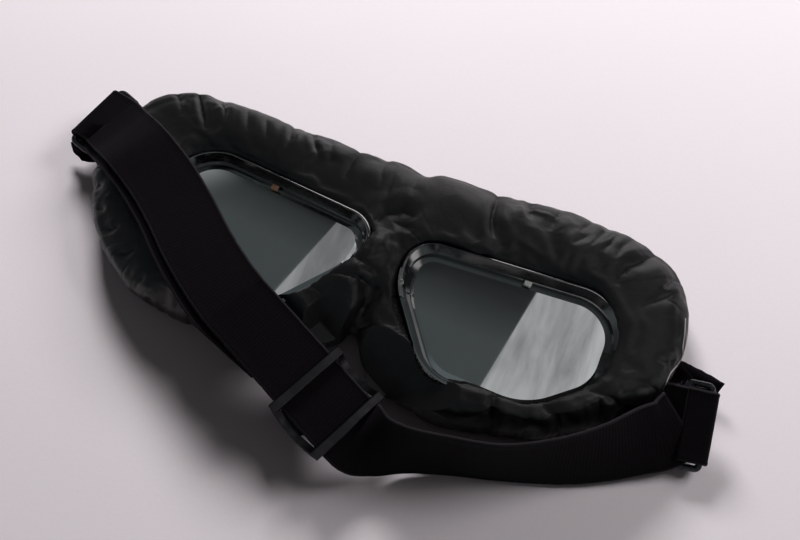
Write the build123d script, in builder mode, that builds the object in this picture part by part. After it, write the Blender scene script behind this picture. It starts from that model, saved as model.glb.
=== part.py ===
"""Aviator flying goggles: two bevelled lenses in metal rims on padded surrounds, with a webbing strap.

X runs along the goggles, Y to the brow and Z away from the face. The origin is in the middle of the
nose bridge on the face plane. Left and right are as the goggles are seen from the front.
"""

import os
from math import acos, atan2, cos, hypot, radians, sin, sqrt

from build123d import *

# Lens, seen from the front
lens_length = 67.5
lens_height = 45.2
lens_drop = 7.0
nose_half_gap = 8.0
lens_tilt = 4.0
lens_front = 13.0
glass_thick = 3.0
bevel_width = 3.5
bevel_drop = 1.6

# Metal rim and what holds the glass
rim_width = 2.8
rim_crest = 4.0
rim_depth = 5.0
rim_slope_width = 1.5
rim_slope_drop = 3.0
rim_outer_round = 1.2
glass_grip = 1.0
fit_gap = 0.05
soft_gap = 0.3
gasket_thick = 1.05
gasket_show = 0.3
back_ring_thick = 0.8

# Clasp, screw and clip on the rim
split_width = 0.6
clasp_length = 9.0
clasp_thick = 1.9
clasp_proud = 0.5
screw_head_radius = 0.95
screw_head_height = 0.4
screw_shank_radius = 0.45
screw_slot = 0.25
clip_width = 2.6
clip_reach = 1.6
clip_thick = 0.8
clip_across = 2.1

# Padded surround
brow_roll = 23.0
roll_height = 17.6
roll_round = 10.9
crease_depth = 2.0
crease_drop = 1.3
lining_thick = 1.2
lining_inset = 1.4
bridge_half_width = 5.1
inner_foot_share = 0.55
inner_top_share = 0.3
outer_arc_angle = 34.0
notch_drop = 27.5
bridge_reach_share = 0.66
bridge_edge = 2.4

# Webbing strap, its tabs and rings
webbing_width = 22.0
webbing_thick = 1.3
layer_gap = 0.3
strap_lift = 0.75
wire_radius = 1.0
wire_fit = 0.1
ring_span = 7.0
ring_side_gap = 0.5
ring_corner = 1.4
left_ring_angle = 10.3
left_lean_angle = 25.0
right_ring_angle = 10.0
right_tip_angle = 22.0
right_lean_angle = 12.0
tab_length = 16.0
tab_close = 5.0
end_ply = 4.2
straight_lean = -3.0

# Slider
slider_half_length = 8.9
slider_fit = 0.15
end_bar_width = 3.0
end_bar_thick = 1.6
side_bar = 2.0
middle_bar_radius = 0.95
slider_share = 0.79
loop_share = 0.8

overrun = 1.0

# Points of the glass outline about the lens centre, as shares of lens length and height
outline_shares = [
    (-0.504, 0.336),
    (0.496, 0.513),
    (0.489, -0.111),
    (0.222, -0.476),
    (-0.237, -0.487),
    (-0.489, 0.011),
]
# Corner radii of that outline, as shares of lens height
corner_shares = [0.177, 0.288, 0.354, 0.531, 0.288, 0.354]

# Puffs of the surrounds: angle of the first crease, width shares of the roll at that crease and in
# the middle of the puff, and height share of the puff
right_puff_shares = [
    (-8, 0.524, 0.701, 0.99),
    (13, 0.855, 0.824, 0.97),
    (37, 0.838, 0.973, 1.03),
    (50, 1.041, 1.110, 1.05),
    (70, 1.127, 1.113, 1.02),
    (86, 1.085, 1.095, 1.06),
    (114, 1.107, 1.313, 1.03),
    (134, 1.357, 0.706, 0.94),
    (163, 0.348, 0.271, 0.90),
    (192, 0.262, 0.377, 0.90),
    (212, 0.506, 0.552, 0.87),
    (238, 0.349, 0.367, 0.88),
    (264, 0.324, 0.308, 0.95),
    (286, 0.257, 0.207, 0.97),
    (318, 0.297, 0.474, 0.98),
]
# The left surround is filled more loosely: it spreads at its outer end and lies lower there
left_puff_shares = [
    (-8, 0.790, 1.060, 0.88),
    (13, 1.080, 1.130, 0.86),
    (37, 1.180, 1.250, 0.88),
    (50, 1.230, 1.170, 0.96),
    (70, 1.100, 1.050, 1.00),
    (86, 0.960, 1.180, 1.03),
    (114, 1.107, 1.313, 1.03),
    (134, 1.357, 0.706, 0.94),
    (163, 0.348, 0.271, 0.90),
    (192, 0.262, 0.377, 0.90),
    (212, 0.506, 0.552, 0.87),
    (238, 0.349, 0.367, 0.88),
    (264, 0.324, 0.308, 0.95),
    (286, 0.257, 0.220, 0.95),
    (318, 0.330, 0.520, 0.92),
]
# Profile of the bridge pad: shares of its length from the nose to the brow, and of the roll height
bridge_shares = [
    (0.000, 0.00),
    (0.960, 0.00),
    (1.000, 0.38),
    (0.985, 0.68),
    (0.930, 0.90),
    (0.840, 1.02),
    (0.740, 1.01),
    (0.600, 0.90),
    (0.450, 0.84),
    (0.300, 0.74),
    (0.170, 0.58),
    (0.060, 0.40),
    (-0.020, 0.24),
]

lens_x = nose_half_gap - outline_shares[0][0] * lens_length
lens_y = -lens_drop
outline_points = [(x * lens_length, y * lens_height) for x, y in outline_shares]
corner_radii = [share * lens_height for share in corner_shares]
side_wall = bridge_half_width + soft_gap

# The lens plane leans outwards; its origin is the middle of the glass front
lean = radians(lens_tilt)
lens_plane = Plane(
    origin=(lens_x, lens_y, lens_front),
    x_dir=(cos(lean), 0, -sin(lean)),
    z_dir=(sin(lean), 0, cos(lean)),
)


def outline_reach(angle):
    """Distance from the lens centre to the straight sides of the outline at an angle."""
    across, up = cos(radians(angle)), sin(radians(angle))
    ends = outline_points[1:] + outline_points[:1]
    for (x1, y1), (x2, y2) in zip(outline_points, ends):
        side_x, side_y = x2 - x1, y2 - y1
        turn = across * side_y - up * side_x
        distance = (x1 * side_y - y1 * side_x) / turn if turn else 0
        along = (x1 * up - y1 * across) / turn if turn else 0
        if distance > 0 and 0 <= along <= 1:
            return distance
    return hypot(*outline_points[1])


def lens_outline(plane, grow):
    """Sketch of the glass outline on a plane, grown outwards by an amount."""
    with BuildSketch(plane) as drawn:
        with BuildLine():
            FilletPolyline(*outline_points, radius=corner_radii, close=True)
        make_face()
        if grow:
            offset(amount=grow)
    return drawn.sketch


def lens_band(plane, outer, inner):
    """Sketch of the band between two grown outlines."""
    with BuildSketch(plane) as drawn:
        with BuildLine():
            FilletPolyline(*outline_points, radius=corner_radii, close=True)
        make_face()
        offset(amount=outer)
        with BuildSketch(mode=Mode.PRIVATE) as hole:
            with BuildLine():
                FilletPolyline(*outline_points, radius=corner_radii, close=True)
            make_face()
            if inner:
                offset(amount=inner)
        add(hole.sketch, mode=Mode.SUBTRACT)
    return drawn.sketch


os.makedirs("parts", exist_ok=True)

# Places on the rim: the clasp at the nose end, the clip at the brow
nose_edge = outline_points[5][0]
brow_edge = outline_reach(90)
seat_top = fit_gap - bevel_drop * (bevel_width - glass_grip) / bevel_width
rim_through = rim_depth + rim_crest + overrun + overrun
rim_across = rim_width + rim_width + rim_width + rim_width
clasp_floor = rim_crest + clasp_proud - clasp_thick
glass_back = -glass_thick - fit_gap
gasket_back = glass_back - gasket_thick + fit_gap

# Right rim: a ring with a sloped inner face, a rounded outer edge and a seat for the glass
with BuildPart() as right_rim:
    extrude(lens_outline(lens_plane.offset(-rim_depth), rim_width), amount=rim_depth + rim_crest)
    crest_face = right_rim.faces().sort_by(Axis(lens_plane.origin, lens_plane.z_dir))[-1]
    fillet(crest_face.outer_wire().edges(), radius=rim_outer_round)
    below_rim = lens_plane.offset(-rim_depth - overrun)
    extrude(lens_outline(below_rim, 0), amount=rim_through, mode=Mode.SUBTRACT)
    crest_face = right_rim.faces().sort_by(Axis(lens_plane.origin, lens_plane.z_dir))[-1]
    chamfer(
        crest_face.inner_wires()[0].edges(),
        length=rim_slope_width,
        length2=rim_slope_drop,
        reference=crest_face,
    )
    seat = lens_outline(below_rim, glass_grip + fit_gap)
    extrude(seat, amount=rim_depth + overrun + seat_top, mode=Mode.SUBTRACT)
    # split at the nose end
    with BuildSketch(below_rim):
        with Locations((nose_edge, 0)):
            Rectangle(rim_across, split_width)
    extrude(amount=rim_through, mode=Mode.SUBTRACT)
    # seat for the clasp in the crest
    with BuildSketch(lens_plane.offset(clasp_floor)):
        with Locations((nose_edge, 0)):
            Rectangle(rim_across, clasp_length + fit_gap + fit_gap)
    extrude(amount=clasp_thick + overrun, mode=Mode.SUBTRACT)
    # slot for the clip
    with BuildSketch(lens_plane.offset(fit_gap)):
        with Locations((clip_across, brow_edge)):
            Rectangle(clip_width + fit_gap + fit_gap, rim_width + rim_width)
    extrude(amount=clip_thick + fit_gap + fit_gap, mode=Mode.SUBTRACT)

# Clasp plate: a piece of the rim's own band, with a hole for its screw
with BuildPart() as right_rim_clasp:
    clasp_plane = lens_plane.offset(clasp_floor + fit_gap)
    extrude(lens_band(clasp_plane, rim_width, rim_slope_width), amount=clasp_thick)
    with BuildSketch(clasp_plane):
        with Locations((nose_edge, 0)):
            Rectangle(rim_across, clasp_length)
    extrude(amount=clasp_thick, mode=Mode.INTERSECT)
    clasp_middle = right_rim_clasp.part.center()
    hole_plane = Plane(
        origin=clasp_middle, x_dir=lens_plane.x_dir, z_dir=lens_plane.z_dir
    ).offset(-clasp_thick)
    with BuildSketch(hole_plane):
        Circle(screw_shank_radius + fit_gap)
    extrude(amount=clasp_thick + clasp_thick, mode=Mode.SUBTRACT)

# Clasp screw: a slotted head on the plate and a shank in its hole
screw_plane = hole_plane.offset(clasp_thick + clasp_thick / 2 + fit_gap)
with BuildPart() as right_clasp_screw:
    with BuildSketch(screw_plane.offset(-clasp_thick)):
        Circle(screw_shank_radius)
    extrude(amount=clasp_thick)
    with BuildSketch(screw_plane):
        Circle(screw_head_radius)
    extrude(amount=screw_head_height)
    head_top = right_clasp_screw.faces().sort_by(Axis(lens_plane.origin, lens_plane.z_dir))[-1]
    fillet(head_top.edges(), radius=screw_head_height / 2)
    with BuildSketch(screw_plane.offset(screw_head_height / 2)):
        Rectangle(rim_across, screw_slot)
    extrude(amount=screw_head_height, mode=Mode.SUBTRACT)

# Glass with its polished bevel
with BuildPart() as right_lens:
    extrude(lens_outline(lens_plane.offset(-glass_thick), glass_grip), amount=glass_thick)
    glass_front = right_lens.faces().sort_by(Axis(lens_plane.origin, lens_plane.z_dir))[-1]
    chamfer(glass_front.edges(), length=bevel_width, length2=bevel_drop, reference=glass_front)

# Gasket behind the glass
with BuildPart() as right_lens_gasket:
    gasket_band = lens_band(lens_plane.offset(gasket_back), glass_grip, -gasket_show)
    extrude(gasket_band, amount=gasket_thick - fit_gap)

# Back ring that closes the rim
with BuildPart() as right_back_ring:
    ring_band = lens_band(lens_plane.offset(-rim_depth), glass_grip, -gasket_show)
    extrude(ring_band, amount=back_ring_thick)

# Clip: a tongue from the rim over the bevel
with BuildPart() as right_lens_clip:
    clip_start = brow_edge + rim_width - rim_outer_round
    clip_end = brow_edge - clip_reach
    with BuildSketch(lens_plane.offset(fit_gap + fit_gap)):
        with Locations((clip_across, (clip_start + clip_end) / 2)):
            RectangleRounded(clip_width, clip_start - clip_end, clip_width / 4)
    extrude(amount=clip_thick)
    clip_top = right_lens_clip.faces().sort_by(Axis(lens_plane.origin, lens_plane.z_dir))[-1]
    fillet(clip_top.edges(), radius=clip_thick / 4)


def puff_section(angle, width, height):
    """Closed section of the roll on the upright plane through the lens centre at an angle."""
    turn = radians(angle)
    plane = Plane(
        origin=(lens_x, lens_y, 0),
        x_dir=(cos(turn), sin(turn), 0),
        z_dir=(sin(turn), -cos(turn), 0),
    )
    rim_out = outline_reach(angle) + rim_width
    crown_at = rim_out + width - roll_round
    drop = height - roll_round - lining_thick
    foot = crown_at + sqrt(roll_round**2 - drop**2)
    inside = (rim_out - rim_width) * inner_foot_share
    inner_top = height * inner_top_share
    arc_turn = radians(outer_arc_angle)
    arc_middle = (
        crown_at + roll_round * cos(arc_turn),
        height - roll_round + roll_round * sin(arc_turn),
    )
    with BuildSketch(plane) as drawn:
        with BuildLine():
            Polyline((inside, inner_top), (inside, lining_thick), (foot, lining_thick))
            ThreePointArc((foot, lining_thick), arc_middle, (crown_at, height))
            TangentArc((crown_at, height), (inside, inner_top), tangent=(-1, 0))
        make_face()
    return drawn.sketch, foot


def gathered_surround(puff_shares):
    """Ring of gathered puffs, each lofted from crease to crease, and the foot points under it."""
    foot_points = []
    last_high = puff_shares[-1][3]
    closing = puff_shares[1:] + [(puff_shares[0][0] + 360,) + puff_shares[0][1:]]
    with BuildPart() as surround:
        for (angle, crease, middle, high), (next_angle, next_crease, _, next_high) in zip(
            puff_shares, closing
        ):
            crease_high, next_crease_high = min(last_high, high), min(high, next_high)
            last_high = high
            start, foot = puff_section(
                angle, brow_roll * crease - crease_depth, roll_height * crease_high - crease_drop
            )
            full, _ = puff_section(
                (angle + next_angle) / 2, brow_roll * middle, roll_height * high
            )
            finish, _ = puff_section(
                next_angle,
                brow_roll * next_crease - crease_depth,
                roll_height * next_crease_high - crease_drop,
            )
            add([start, full, finish])
            loft()
            edge = foot - lining_inset
            foot_points.append((edge * cos(radians(angle)), edge * sin(radians(angle))))
        split(bisect_by=Plane.YZ.offset(side_wall), keep=Keep.TOP)
        # pocket for the rim and the eye opening
        pocket = lens_outline(lens_plane.offset(-rim_depth - fit_gap), rim_width + soft_gap)
        extrude(pocket, amount=roll_height + roll_height, mode=Mode.SUBTRACT)
        opening = lens_outline(lens_plane.offset(-lens_front - lens_front), 0)
        extrude(opening, amount=eye_through, mode=Mode.SUBTRACT)
    return surround.part, foot_points


def face_lining(foot_points):
    """Flat lining under a surround, with the eye opening."""
    with BuildPart() as lining:
        with BuildSketch(Plane(origin=(lens_x, lens_y, 0))):
            with BuildLine():
                Spline(*foot_points, periodic=True)
            make_face()
        extrude(amount=lining_thick)
        split(bisect_by=Plane.YZ.offset(side_wall), keep=Keep.TOP)
        opening = lens_outline(lens_plane.offset(-lens_front - lens_front), 0)
        extrude(opening, amount=eye_through, mode=Mode.SUBTRACT)
    return lining.part


# Eye surrounds and their linings; the left one is made on the right and mirrored
eye_through = lens_front + lens_front + roll_height + roll_height
right_surround, right_feet = gathered_surround(right_puff_shares)
left_surround, left_feet = gathered_surround(left_puff_shares)
with BuildPart() as right_face_lining:
    add(face_lining(right_feet))
with BuildPart() as left_face_lining:
    add(mirror(face_lining(left_feet), about=Plane.YZ, mode=Mode.PRIVATE))

# Padded bridge: the roll of the brow and the roll down over the nose, in one piece
bridge_top = lens_y + lens_length * bridge_reach_share
bridge_length = bridge_top + notch_drop
bridge_points = [
    (along * bridge_length - notch_drop, high * roll_height) for along, high in bridge_shares
]
with BuildPart() as bridge_pad:
    with BuildSketch(Plane.YZ.offset(-bridge_half_width)):
        with BuildLine():
            Line(bridge_points[0], bridge_points[1])
            Spline(*bridge_points[1:])
            Line(bridge_points[-1], bridge_points[0])
        make_face()
    extrude(amount=bridge_half_width + bridge_half_width)


def wire_ring(plane):
    """Rectangular wire ring; X runs from the inner bar to the outer one, Y along the bars."""
    half = webbing_width / 2 + ring_side_gap + wire_radius
    with BuildPart() as ring:
        with BuildLine(plane) as path:
            FilletPolyline(
                (0, 0),
                (0, half),
                (ring_span, half),
                (ring_span, -half),
                (0, -half),
                radius=[0, ring_corner, ring_corner, ring_corner, ring_corner],
                close=True,
            )
        with BuildSketch(Plane(origin=plane.origin, z_dir=plane.y_dir)):
            Circle(wire_radius)
        sweep(path=path.wires()[0])
    return ring.part


def fold_path(centre, first, second, outside, tail=0):
    """Strap path from one ply round a bar to the other; outside is the bar's far side, 1 or -1."""
    turn_radius = wire_radius + wire_fit + webbing_thick / 2
    touches = []
    for point, side in ((first, 1), (second, -1)):
        away = hypot(point[0] - centre[0], point[1] - centre[1])
        facing = atan2(point[1] - centre[1], point[0] - centre[0])
        angle = facing - side * outside * acos(turn_radius / away)
        touches.append((centre[0] + turn_radius * cos(angle), centre[1] + turn_radius * sin(angle)))
    with BuildLine() as path:
        if tail:
            Line((first[0] - outside * tail, first[1]), first)
        Line(first, touches[0])
        ThreePointArc(touches[0], (centre[0] + outside * turn_radius, centre[1]), touches[1])
        Line(touches[1], second)
        if tail:
            Line(second, (second[0] - outside * tail, second[1]))
    return path.line


def folded_webbing(plane, centre, first, second, outside, tail=0):
    with BuildPart() as fold:
        with BuildSketch(plane.offset(-webbing_width / 2)):
            trace(fold_path(centre, first, second, outside, tail), line_width=webbing_thick)
        extrude(amount=webbing_width)
    return fold.part


def section_plane(centre, heading, lean_angle):
    """Plane square to the strap's heading, X across the webbing and raised by the lean angle."""
    heading = Vector(*heading).normalized()
    across = Vector(0, 0, 1).cross(heading).normalized()
    rise = heading.cross(across)
    turn = radians(lean_angle)
    width_way = across * cos(turn) + rise * sin(turn)
    return Plane(origin=centre, x_dir=width_way, z_dir=heading)


def webbing_section(plane, shift=0):
    """Section of the webbing; shift moves it across the strap's own thickness."""
    moved = Plane(origin=plane.origin + plane.y_dir * shift, x_dir=plane.x_dir, z_dir=plane.z_dir)
    with BuildSketch(moved) as drawn:
        Rectangle(webbing_width, webbing_thick)
    return drawn.sketch


def strap_ways(places, first_way):
    """Headings along a strap's places; near the ring they turn from the first way to the route's."""
    ways = [first_way]
    for before, after in zip(places, places[2:]):
        ways.append((after - before).normalized())
    for place, share in zip(range(1, 4), turn_in_shares):
        ways[place] = ways[place] * share + first_way * (1 - share)
    return ways


turn_in_shares = [0.35, 0.7, 0.9]
half_length = lens_x + outline_points[1][0] + rim_width + brow_roll * right_puff_shares[1][1]
half_height = lens_height / 2 + rim_width + brow_roll
layer_step = webbing_thick + layer_gap
over_roll = roll_height + strap_lift + webbing_thick / 2 + layer_step
fold_out = wire_radius + wire_fit + webbing_thick

# Left ring: its inner bar lies off the left end, its outer bar leans up
left_ring_shares = (-1.103, 0.2874, 0.43)
left_turn = radians(left_ring_angle)
left_lean = radians(left_lean_angle)
left_out = Vector(-cos(left_turn), sin(left_turn), 0)
left_bar = Vector(0, 0, 1).cross(left_out)
left_inner = Vector(
    half_length * left_ring_shares[0],
    half_height * left_ring_shares[1],
    roll_height * left_ring_shares[2],
)
left_slope = left_out * cos(left_lean) + Vector(0, 0, 1) * sin(left_lean)
left_plane = Plane(origin=left_inner, x_dir=left_slope, z_dir=left_slope.cross(left_bar))

# Right ring: turned and tipped towards the near side
right_ring_shares = (1.036, -0.2186, 0.40)
right_turn = radians(right_ring_angle)
right_tip = radians(right_tip_angle)
right_lean = radians(right_lean_angle)
right_out = Vector(cos(right_turn), sin(right_turn), 0)
right_bar = Vector(0, 0, 1).cross(right_out) * cos(right_tip) + Vector(0, 0, 1) * sin(right_tip)
right_up = right_out.cross(right_bar)
right_inner = Vector(
    half_length * right_ring_shares[0],
    half_height * right_ring_shares[1],
    roll_height * right_ring_shares[2],
)
right_slope = right_out * cos(right_lean) + right_up * sin(right_lean)
right_plane = Plane(origin=right_inner, x_dir=right_slope, z_dir=right_slope.cross(right_bar))

with BuildPart() as left_ring:
    add(wire_ring(left_plane))
with BuildPart() as right_ring:
    add(wire_ring(right_plane))

# Fold frames: X outwards, Y up from the tab, Z along the bar
left_fold = Plane(origin=left_inner, x_dir=left_out, z_dir=left_out.cross(Vector(0, 0, 1)))
right_fold = Plane(origin=right_inner, x_dir=right_out, z_dir=right_out.cross(right_up))
ply_half = webbing_thick / 2 + fit_gap
tab_top = (-tab_close, ply_half)
tab_under = (-tab_close, -ply_half)

# Tabs: two plies from the seam in the surround round the ring's inner bar
with BuildPart() as left_strap_tab:
    add(folded_webbing(left_fold, (0, 0), tab_top, tab_under, 1, tab_length - tab_close))
with BuildPart() as right_strap_tab:
    add(folded_webbing(right_fold, (0, 0), tab_top, tab_under, 1, tab_length - tab_close))


slot_height = webbing_thick + webbing_thick + fit_gap + fit_gap + soft_gap + soft_gap


def seam_slot(plane):
    """Room for a tab's sewn end, used to cut the surround."""
    with BuildPart() as slot:
        with BuildSketch(plane.offset(-webbing_width / 2 - soft_gap)):
            with Locations((-tab_length - soft_gap + tab_length / 2, 0)):
                Rectangle(tab_length, slot_height)
        extrude(amount=webbing_width + soft_gap + soft_gap)
    return slot.part


with BuildPart() as right_cushion:
    add(right_surround)
    add(seam_slot(right_fold), mode=Mode.SUBTRACT)
with BuildPart() as left_cushion:
    add(mirror(left_surround, about=Plane.YZ, mode=Mode.PRIVATE))
    add(seam_slot(left_fold), mode=Mode.SUBTRACT)

# Where the strap leaves each ring
left_run = ring_span * cos(left_lean)
left_rise = ring_span * sin(left_lean)
under_start = (0, fold_out + fit_gap + fit_gap + webbing_thick / 2 + wire_fit)
upper_start = (0, under_start[1] + layer_step)
with BuildPart() as strap_left_wrap:
    add(folded_webbing(left_fold, (left_run, left_rise), upper_start, under_start, 1))

right_run_out = ring_span * cos(right_lean)
right_rise = ring_span * sin(right_lean)
main_start = (0, fold_out + soft_gap + webbing_thick / 2)
ply_end = (right_run_out - end_ply, main_start[1] - layer_step)
with BuildPart() as strap_right_wrap:
    add(folded_webbing(right_fold, (right_run_out, right_rise), main_start, ply_end, 1))

# Straight stretch of the strap, which carries the slider
straight_shares = [(-0.347, -0.7023, 1.13), (0.128, -1.1031, 0.555)]
straight_start, straight_end = [
    Vector(x * half_length, y * half_height, z * over_roll) for x, y, z in straight_shares
]
straight_way = (straight_end - straight_start).normalized()
start_plane = section_plane(straight_start, straight_way, straight_lean)
end_plane = section_plane(straight_end, straight_way, straight_lean)
straight_length = (straight_end - straight_start).length

# Places of the strap's middle over the left eye: shares of half length, of half height and of
# over_roll, and lean
left_route_shares = [
    (-1.030, 0.2065, 0.74, 0),
    (-0.969, 0.1397, 0.895, 0),
    (-0.908, 0.0729, 1.0, 0),
    (-0.782, -0.0749, 1.04, -2),
    (-0.658, -0.2530, 1.08, -5),
    (-0.534, -0.4574, 1.12, -6),
    (-0.422, -0.6133, 1.13, -5),]
left_start = left_inner - left_out * soft_gap + Vector(0, 0, upper_start[1])
left_places = [left_start]
left_places += [
    Vector(x * half_length, y * half_height, z * over_roll) for x, y, z, _ in left_route_shares
]
left_places.append(straight_start)
left_leans = [0] + [row[3] for row in left_route_shares]
left_ways = strap_ways(left_places + [straight_start + straight_way], -left_out)
left_planes = [
    section_plane(place, way, lean_angle)
    for place, way, lean_angle in zip(left_places, left_ways, left_leans)
]

with BuildPart() as strap_left_upper:
    add([webbing_section(plane) for plane in left_planes + [start_plane]])
    loft()
    extrude(webbing_section(start_plane), amount=straight_length)

# Slider frame: X along the strap, Y across it, Z away from the face
slider_place = straight_start + straight_way * straight_length * slider_share
slider_plane = Plane(
    origin=slider_place, x_dir=straight_way, z_dir=straight_way.cross(start_plane.x_dir)
)
bar_rise = webbing_thick / 2 + slider_fit + end_bar_thick / 2
loop_radius = middle_bar_radius + wire_fit + webbing_thick
bar_fall = webbing_thick / 2 + slider_fit + loop_radius
side_place = webbing_width / 2 + slider_fit + slider_fit + side_bar / 2
loop_reach = slider_half_length * loop_share

with BuildPart() as strap_left_under:
    add([webbing_section(plane, -layer_step) for plane in left_planes + [start_plane]])
    loft()
    to_loop = straight_length * slider_share - loop_reach - soft_gap
    extrude(webbing_section(start_plane, -layer_step), amount=to_loop)

# End loop: the under layer's end, turned round the slider's middle bar
loop_plane = Plane(
    origin=slider_plane.origin, x_dir=slider_plane.x_dir, z_dir=-slider_plane.y_dir
)
with BuildPart() as strap_end_loop:
    with BuildSketch(loop_plane.offset(-webbing_width / 2)):
        turn_radius = middle_bar_radius + wire_fit + webbing_thick / 2
        with BuildLine() as loop_path:
            Line((-loop_reach, -layer_step), (0, -bar_fall + turn_radius))
            ThreePointArc(
                (0, -bar_fall + turn_radius), (turn_radius, -bar_fall), (0, -bar_fall - turn_radius)
            )
            Line((0, -bar_fall - turn_radius), (-loop_reach, -layer_step - layer_step))
        trace(loop_path.line, line_width=webbing_thick)
    extrude(amount=webbing_width)

with BuildPart() as slider:
    # arched side bars
    for side in (1, -1):
        with BuildSketch(loop_plane.offset(side * side_place - side_bar / 2)):
            with BuildLine() as arch:
                ThreePointArc(
                    (-slider_half_length, bar_rise), (0, -bar_fall), (slider_half_length, bar_rise)
                )
            trace(arch.line, line_width=side_bar)
        extrude(amount=side_bar)
    # flat end bars over the strap and the round middle bar under it
    with BuildSketch(loop_plane.offset(-side_place - side_bar / 2)):
        with Locations((-slider_half_length, bar_rise), (slider_half_length, bar_rise)):
            RectangleRounded(end_bar_width, end_bar_thick, end_bar_thick / 3)
        with Locations((0, -bar_fall)):
            Circle(middle_bar_radius)
    extrude(amount=side_place + side_place + side_bar)

# Right run: from the slider it turns on its edge and follows the near side to the right ring
on_edge = webbing_width / 2 + webbing_thick / 4
right_route_shares = [
    (0.168, -1.1294, 1.02, 22),
    (0.215, -1.1375, 1.0, 50),
    (0.285, -1.1193, 1.0, 70),
    (0.408, -1.0525, 1.0, 76),
    (0.561, -0.9594, 1.0, 75),
    (0.735, -0.7853, 0.96, 62),
    (0.857, -0.6092, 0.93, 51),
    (0.938, -0.4574, 0.88, 41),
    (0.995, -0.3542, 0.86, 33),]
right_end = right_inner - right_out * (soft_gap + soft_gap)
right_end += right_up * (main_start[1] + soft_gap)
right_places = [straight_end + straight_way * soft_gap]
right_places += [
    Vector(x * half_length, y * half_height, z * on_edge) for x, y, z, _ in right_route_shares
]
right_places.append(right_end)
right_leans = [straight_lean] + [row[3] for row in right_route_shares] + [right_tip_angle]
right_ways = strap_ways(right_places[::-1] + [right_places[0] - straight_way], -right_out)
right_ways = [way * -1 for way in right_ways[::-1]]
right_planes = [
    section_plane(place, way, lean_angle)
    for place, way, lean_angle in zip(right_places, right_ways, right_leans)
]
with BuildPart() as strap_right_run:
    add([webbing_section(plane) for plane in right_planes])
    loft()

# Mirror pairs
with BuildPart() as left_rim:
    add(mirror(right_rim.part, about=Plane.YZ, mode=Mode.PRIVATE))
with BuildPart() as left_rim_clasp:
    add(mirror(right_rim_clasp.part, about=Plane.YZ, mode=Mode.PRIVATE))
with BuildPart() as left_clasp_screw:
    add(mirror(right_clasp_screw.part, about=Plane.YZ, mode=Mode.PRIVATE))
with BuildPart() as left_lens:
    add(mirror(right_lens.part, about=Plane.YZ, mode=Mode.PRIVATE))
with BuildPart() as left_lens_gasket:
    add(mirror(right_lens_gasket.part, about=Plane.YZ, mode=Mode.PRIVATE))
with BuildPart() as left_back_ring:
    add(mirror(right_back_ring.part, about=Plane.YZ, mode=Mode.PRIVATE))
with BuildPart() as left_lens_clip:
    add(mirror(right_lens_clip.part, about=Plane.YZ, mode=Mode.PRIVATE))

pieces = {
    "right_rim": right_rim,
    "left_rim": left_rim,
    "right_rim_clasp": right_rim_clasp,
    "left_rim_clasp": left_rim_clasp,
    "right_clasp_screw": right_clasp_screw,
    "left_clasp_screw": left_clasp_screw,
    "right_lens": right_lens,
    "left_lens": left_lens,
    "right_lens_gasket": right_lens_gasket,
    "left_lens_gasket": left_lens_gasket,
    "right_back_ring": right_back_ring,
    "left_back_ring": left_back_ring,
    "right_lens_clip": right_lens_clip,
    "left_lens_clip": left_lens_clip,
    "right_cushion": right_cushion,
    "left_cushion": left_cushion,
    "right_face_lining": right_face_lining,
    "left_face_lining": left_face_lining,
    "bridge_pad": bridge_pad,
    "right_strap_tab": right_strap_tab,
    "left_strap_tab": left_strap_tab,
    "right_ring": right_ring,
    "left_ring": left_ring,
    "strap_left_upper": strap_left_upper,
    "strap_left_under": strap_left_under,
    "strap_left_wrap": strap_left_wrap,
    "strap_end_loop": strap_end_loop,
    "strap_right_run": strap_right_run,
    "strap_right_wrap": strap_right_wrap,
    "slider": slider,
}
for name, piece in pieces.items():
    piece.part.label = name
    export_step(piece.part, f"parts/{name}.step")
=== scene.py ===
"""Looks of the aviator goggles: gathered surrounds, chromed rims, mirror lenses and elastic webbing."""

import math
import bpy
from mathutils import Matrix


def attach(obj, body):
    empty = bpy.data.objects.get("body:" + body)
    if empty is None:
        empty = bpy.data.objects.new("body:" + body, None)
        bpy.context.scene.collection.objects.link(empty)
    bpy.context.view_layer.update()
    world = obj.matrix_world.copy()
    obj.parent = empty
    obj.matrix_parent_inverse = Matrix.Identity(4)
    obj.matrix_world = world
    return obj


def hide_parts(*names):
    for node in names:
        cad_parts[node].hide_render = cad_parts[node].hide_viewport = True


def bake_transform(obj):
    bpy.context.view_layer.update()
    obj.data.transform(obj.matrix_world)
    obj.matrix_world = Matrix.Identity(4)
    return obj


bl_info = {
    "name": "Aviator goggles",
    "version": (1, 0, 0),
    "blender": (4, 5, 0),
    "location": "3D View > Sidebar > Goggles",
    "description": "Dresses the goggles and sets the studio round them",
    "category": "Object",
}

import bpy
import numpy as np
from bpy.props import FloatProperty, FloatVectorProperty, IntProperty, PointerProperty
from bpy.types import Operator, Panel, PropertyGroup
from mathutils import Matrix, Vector
from mathutils.bvhtree import BVHTree

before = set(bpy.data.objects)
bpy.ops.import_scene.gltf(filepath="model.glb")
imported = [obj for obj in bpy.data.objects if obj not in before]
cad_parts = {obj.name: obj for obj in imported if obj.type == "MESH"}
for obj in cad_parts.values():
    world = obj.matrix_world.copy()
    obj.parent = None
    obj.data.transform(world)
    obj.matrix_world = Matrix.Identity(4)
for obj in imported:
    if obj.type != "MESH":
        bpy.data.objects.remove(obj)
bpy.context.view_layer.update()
MM = 0.001

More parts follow.
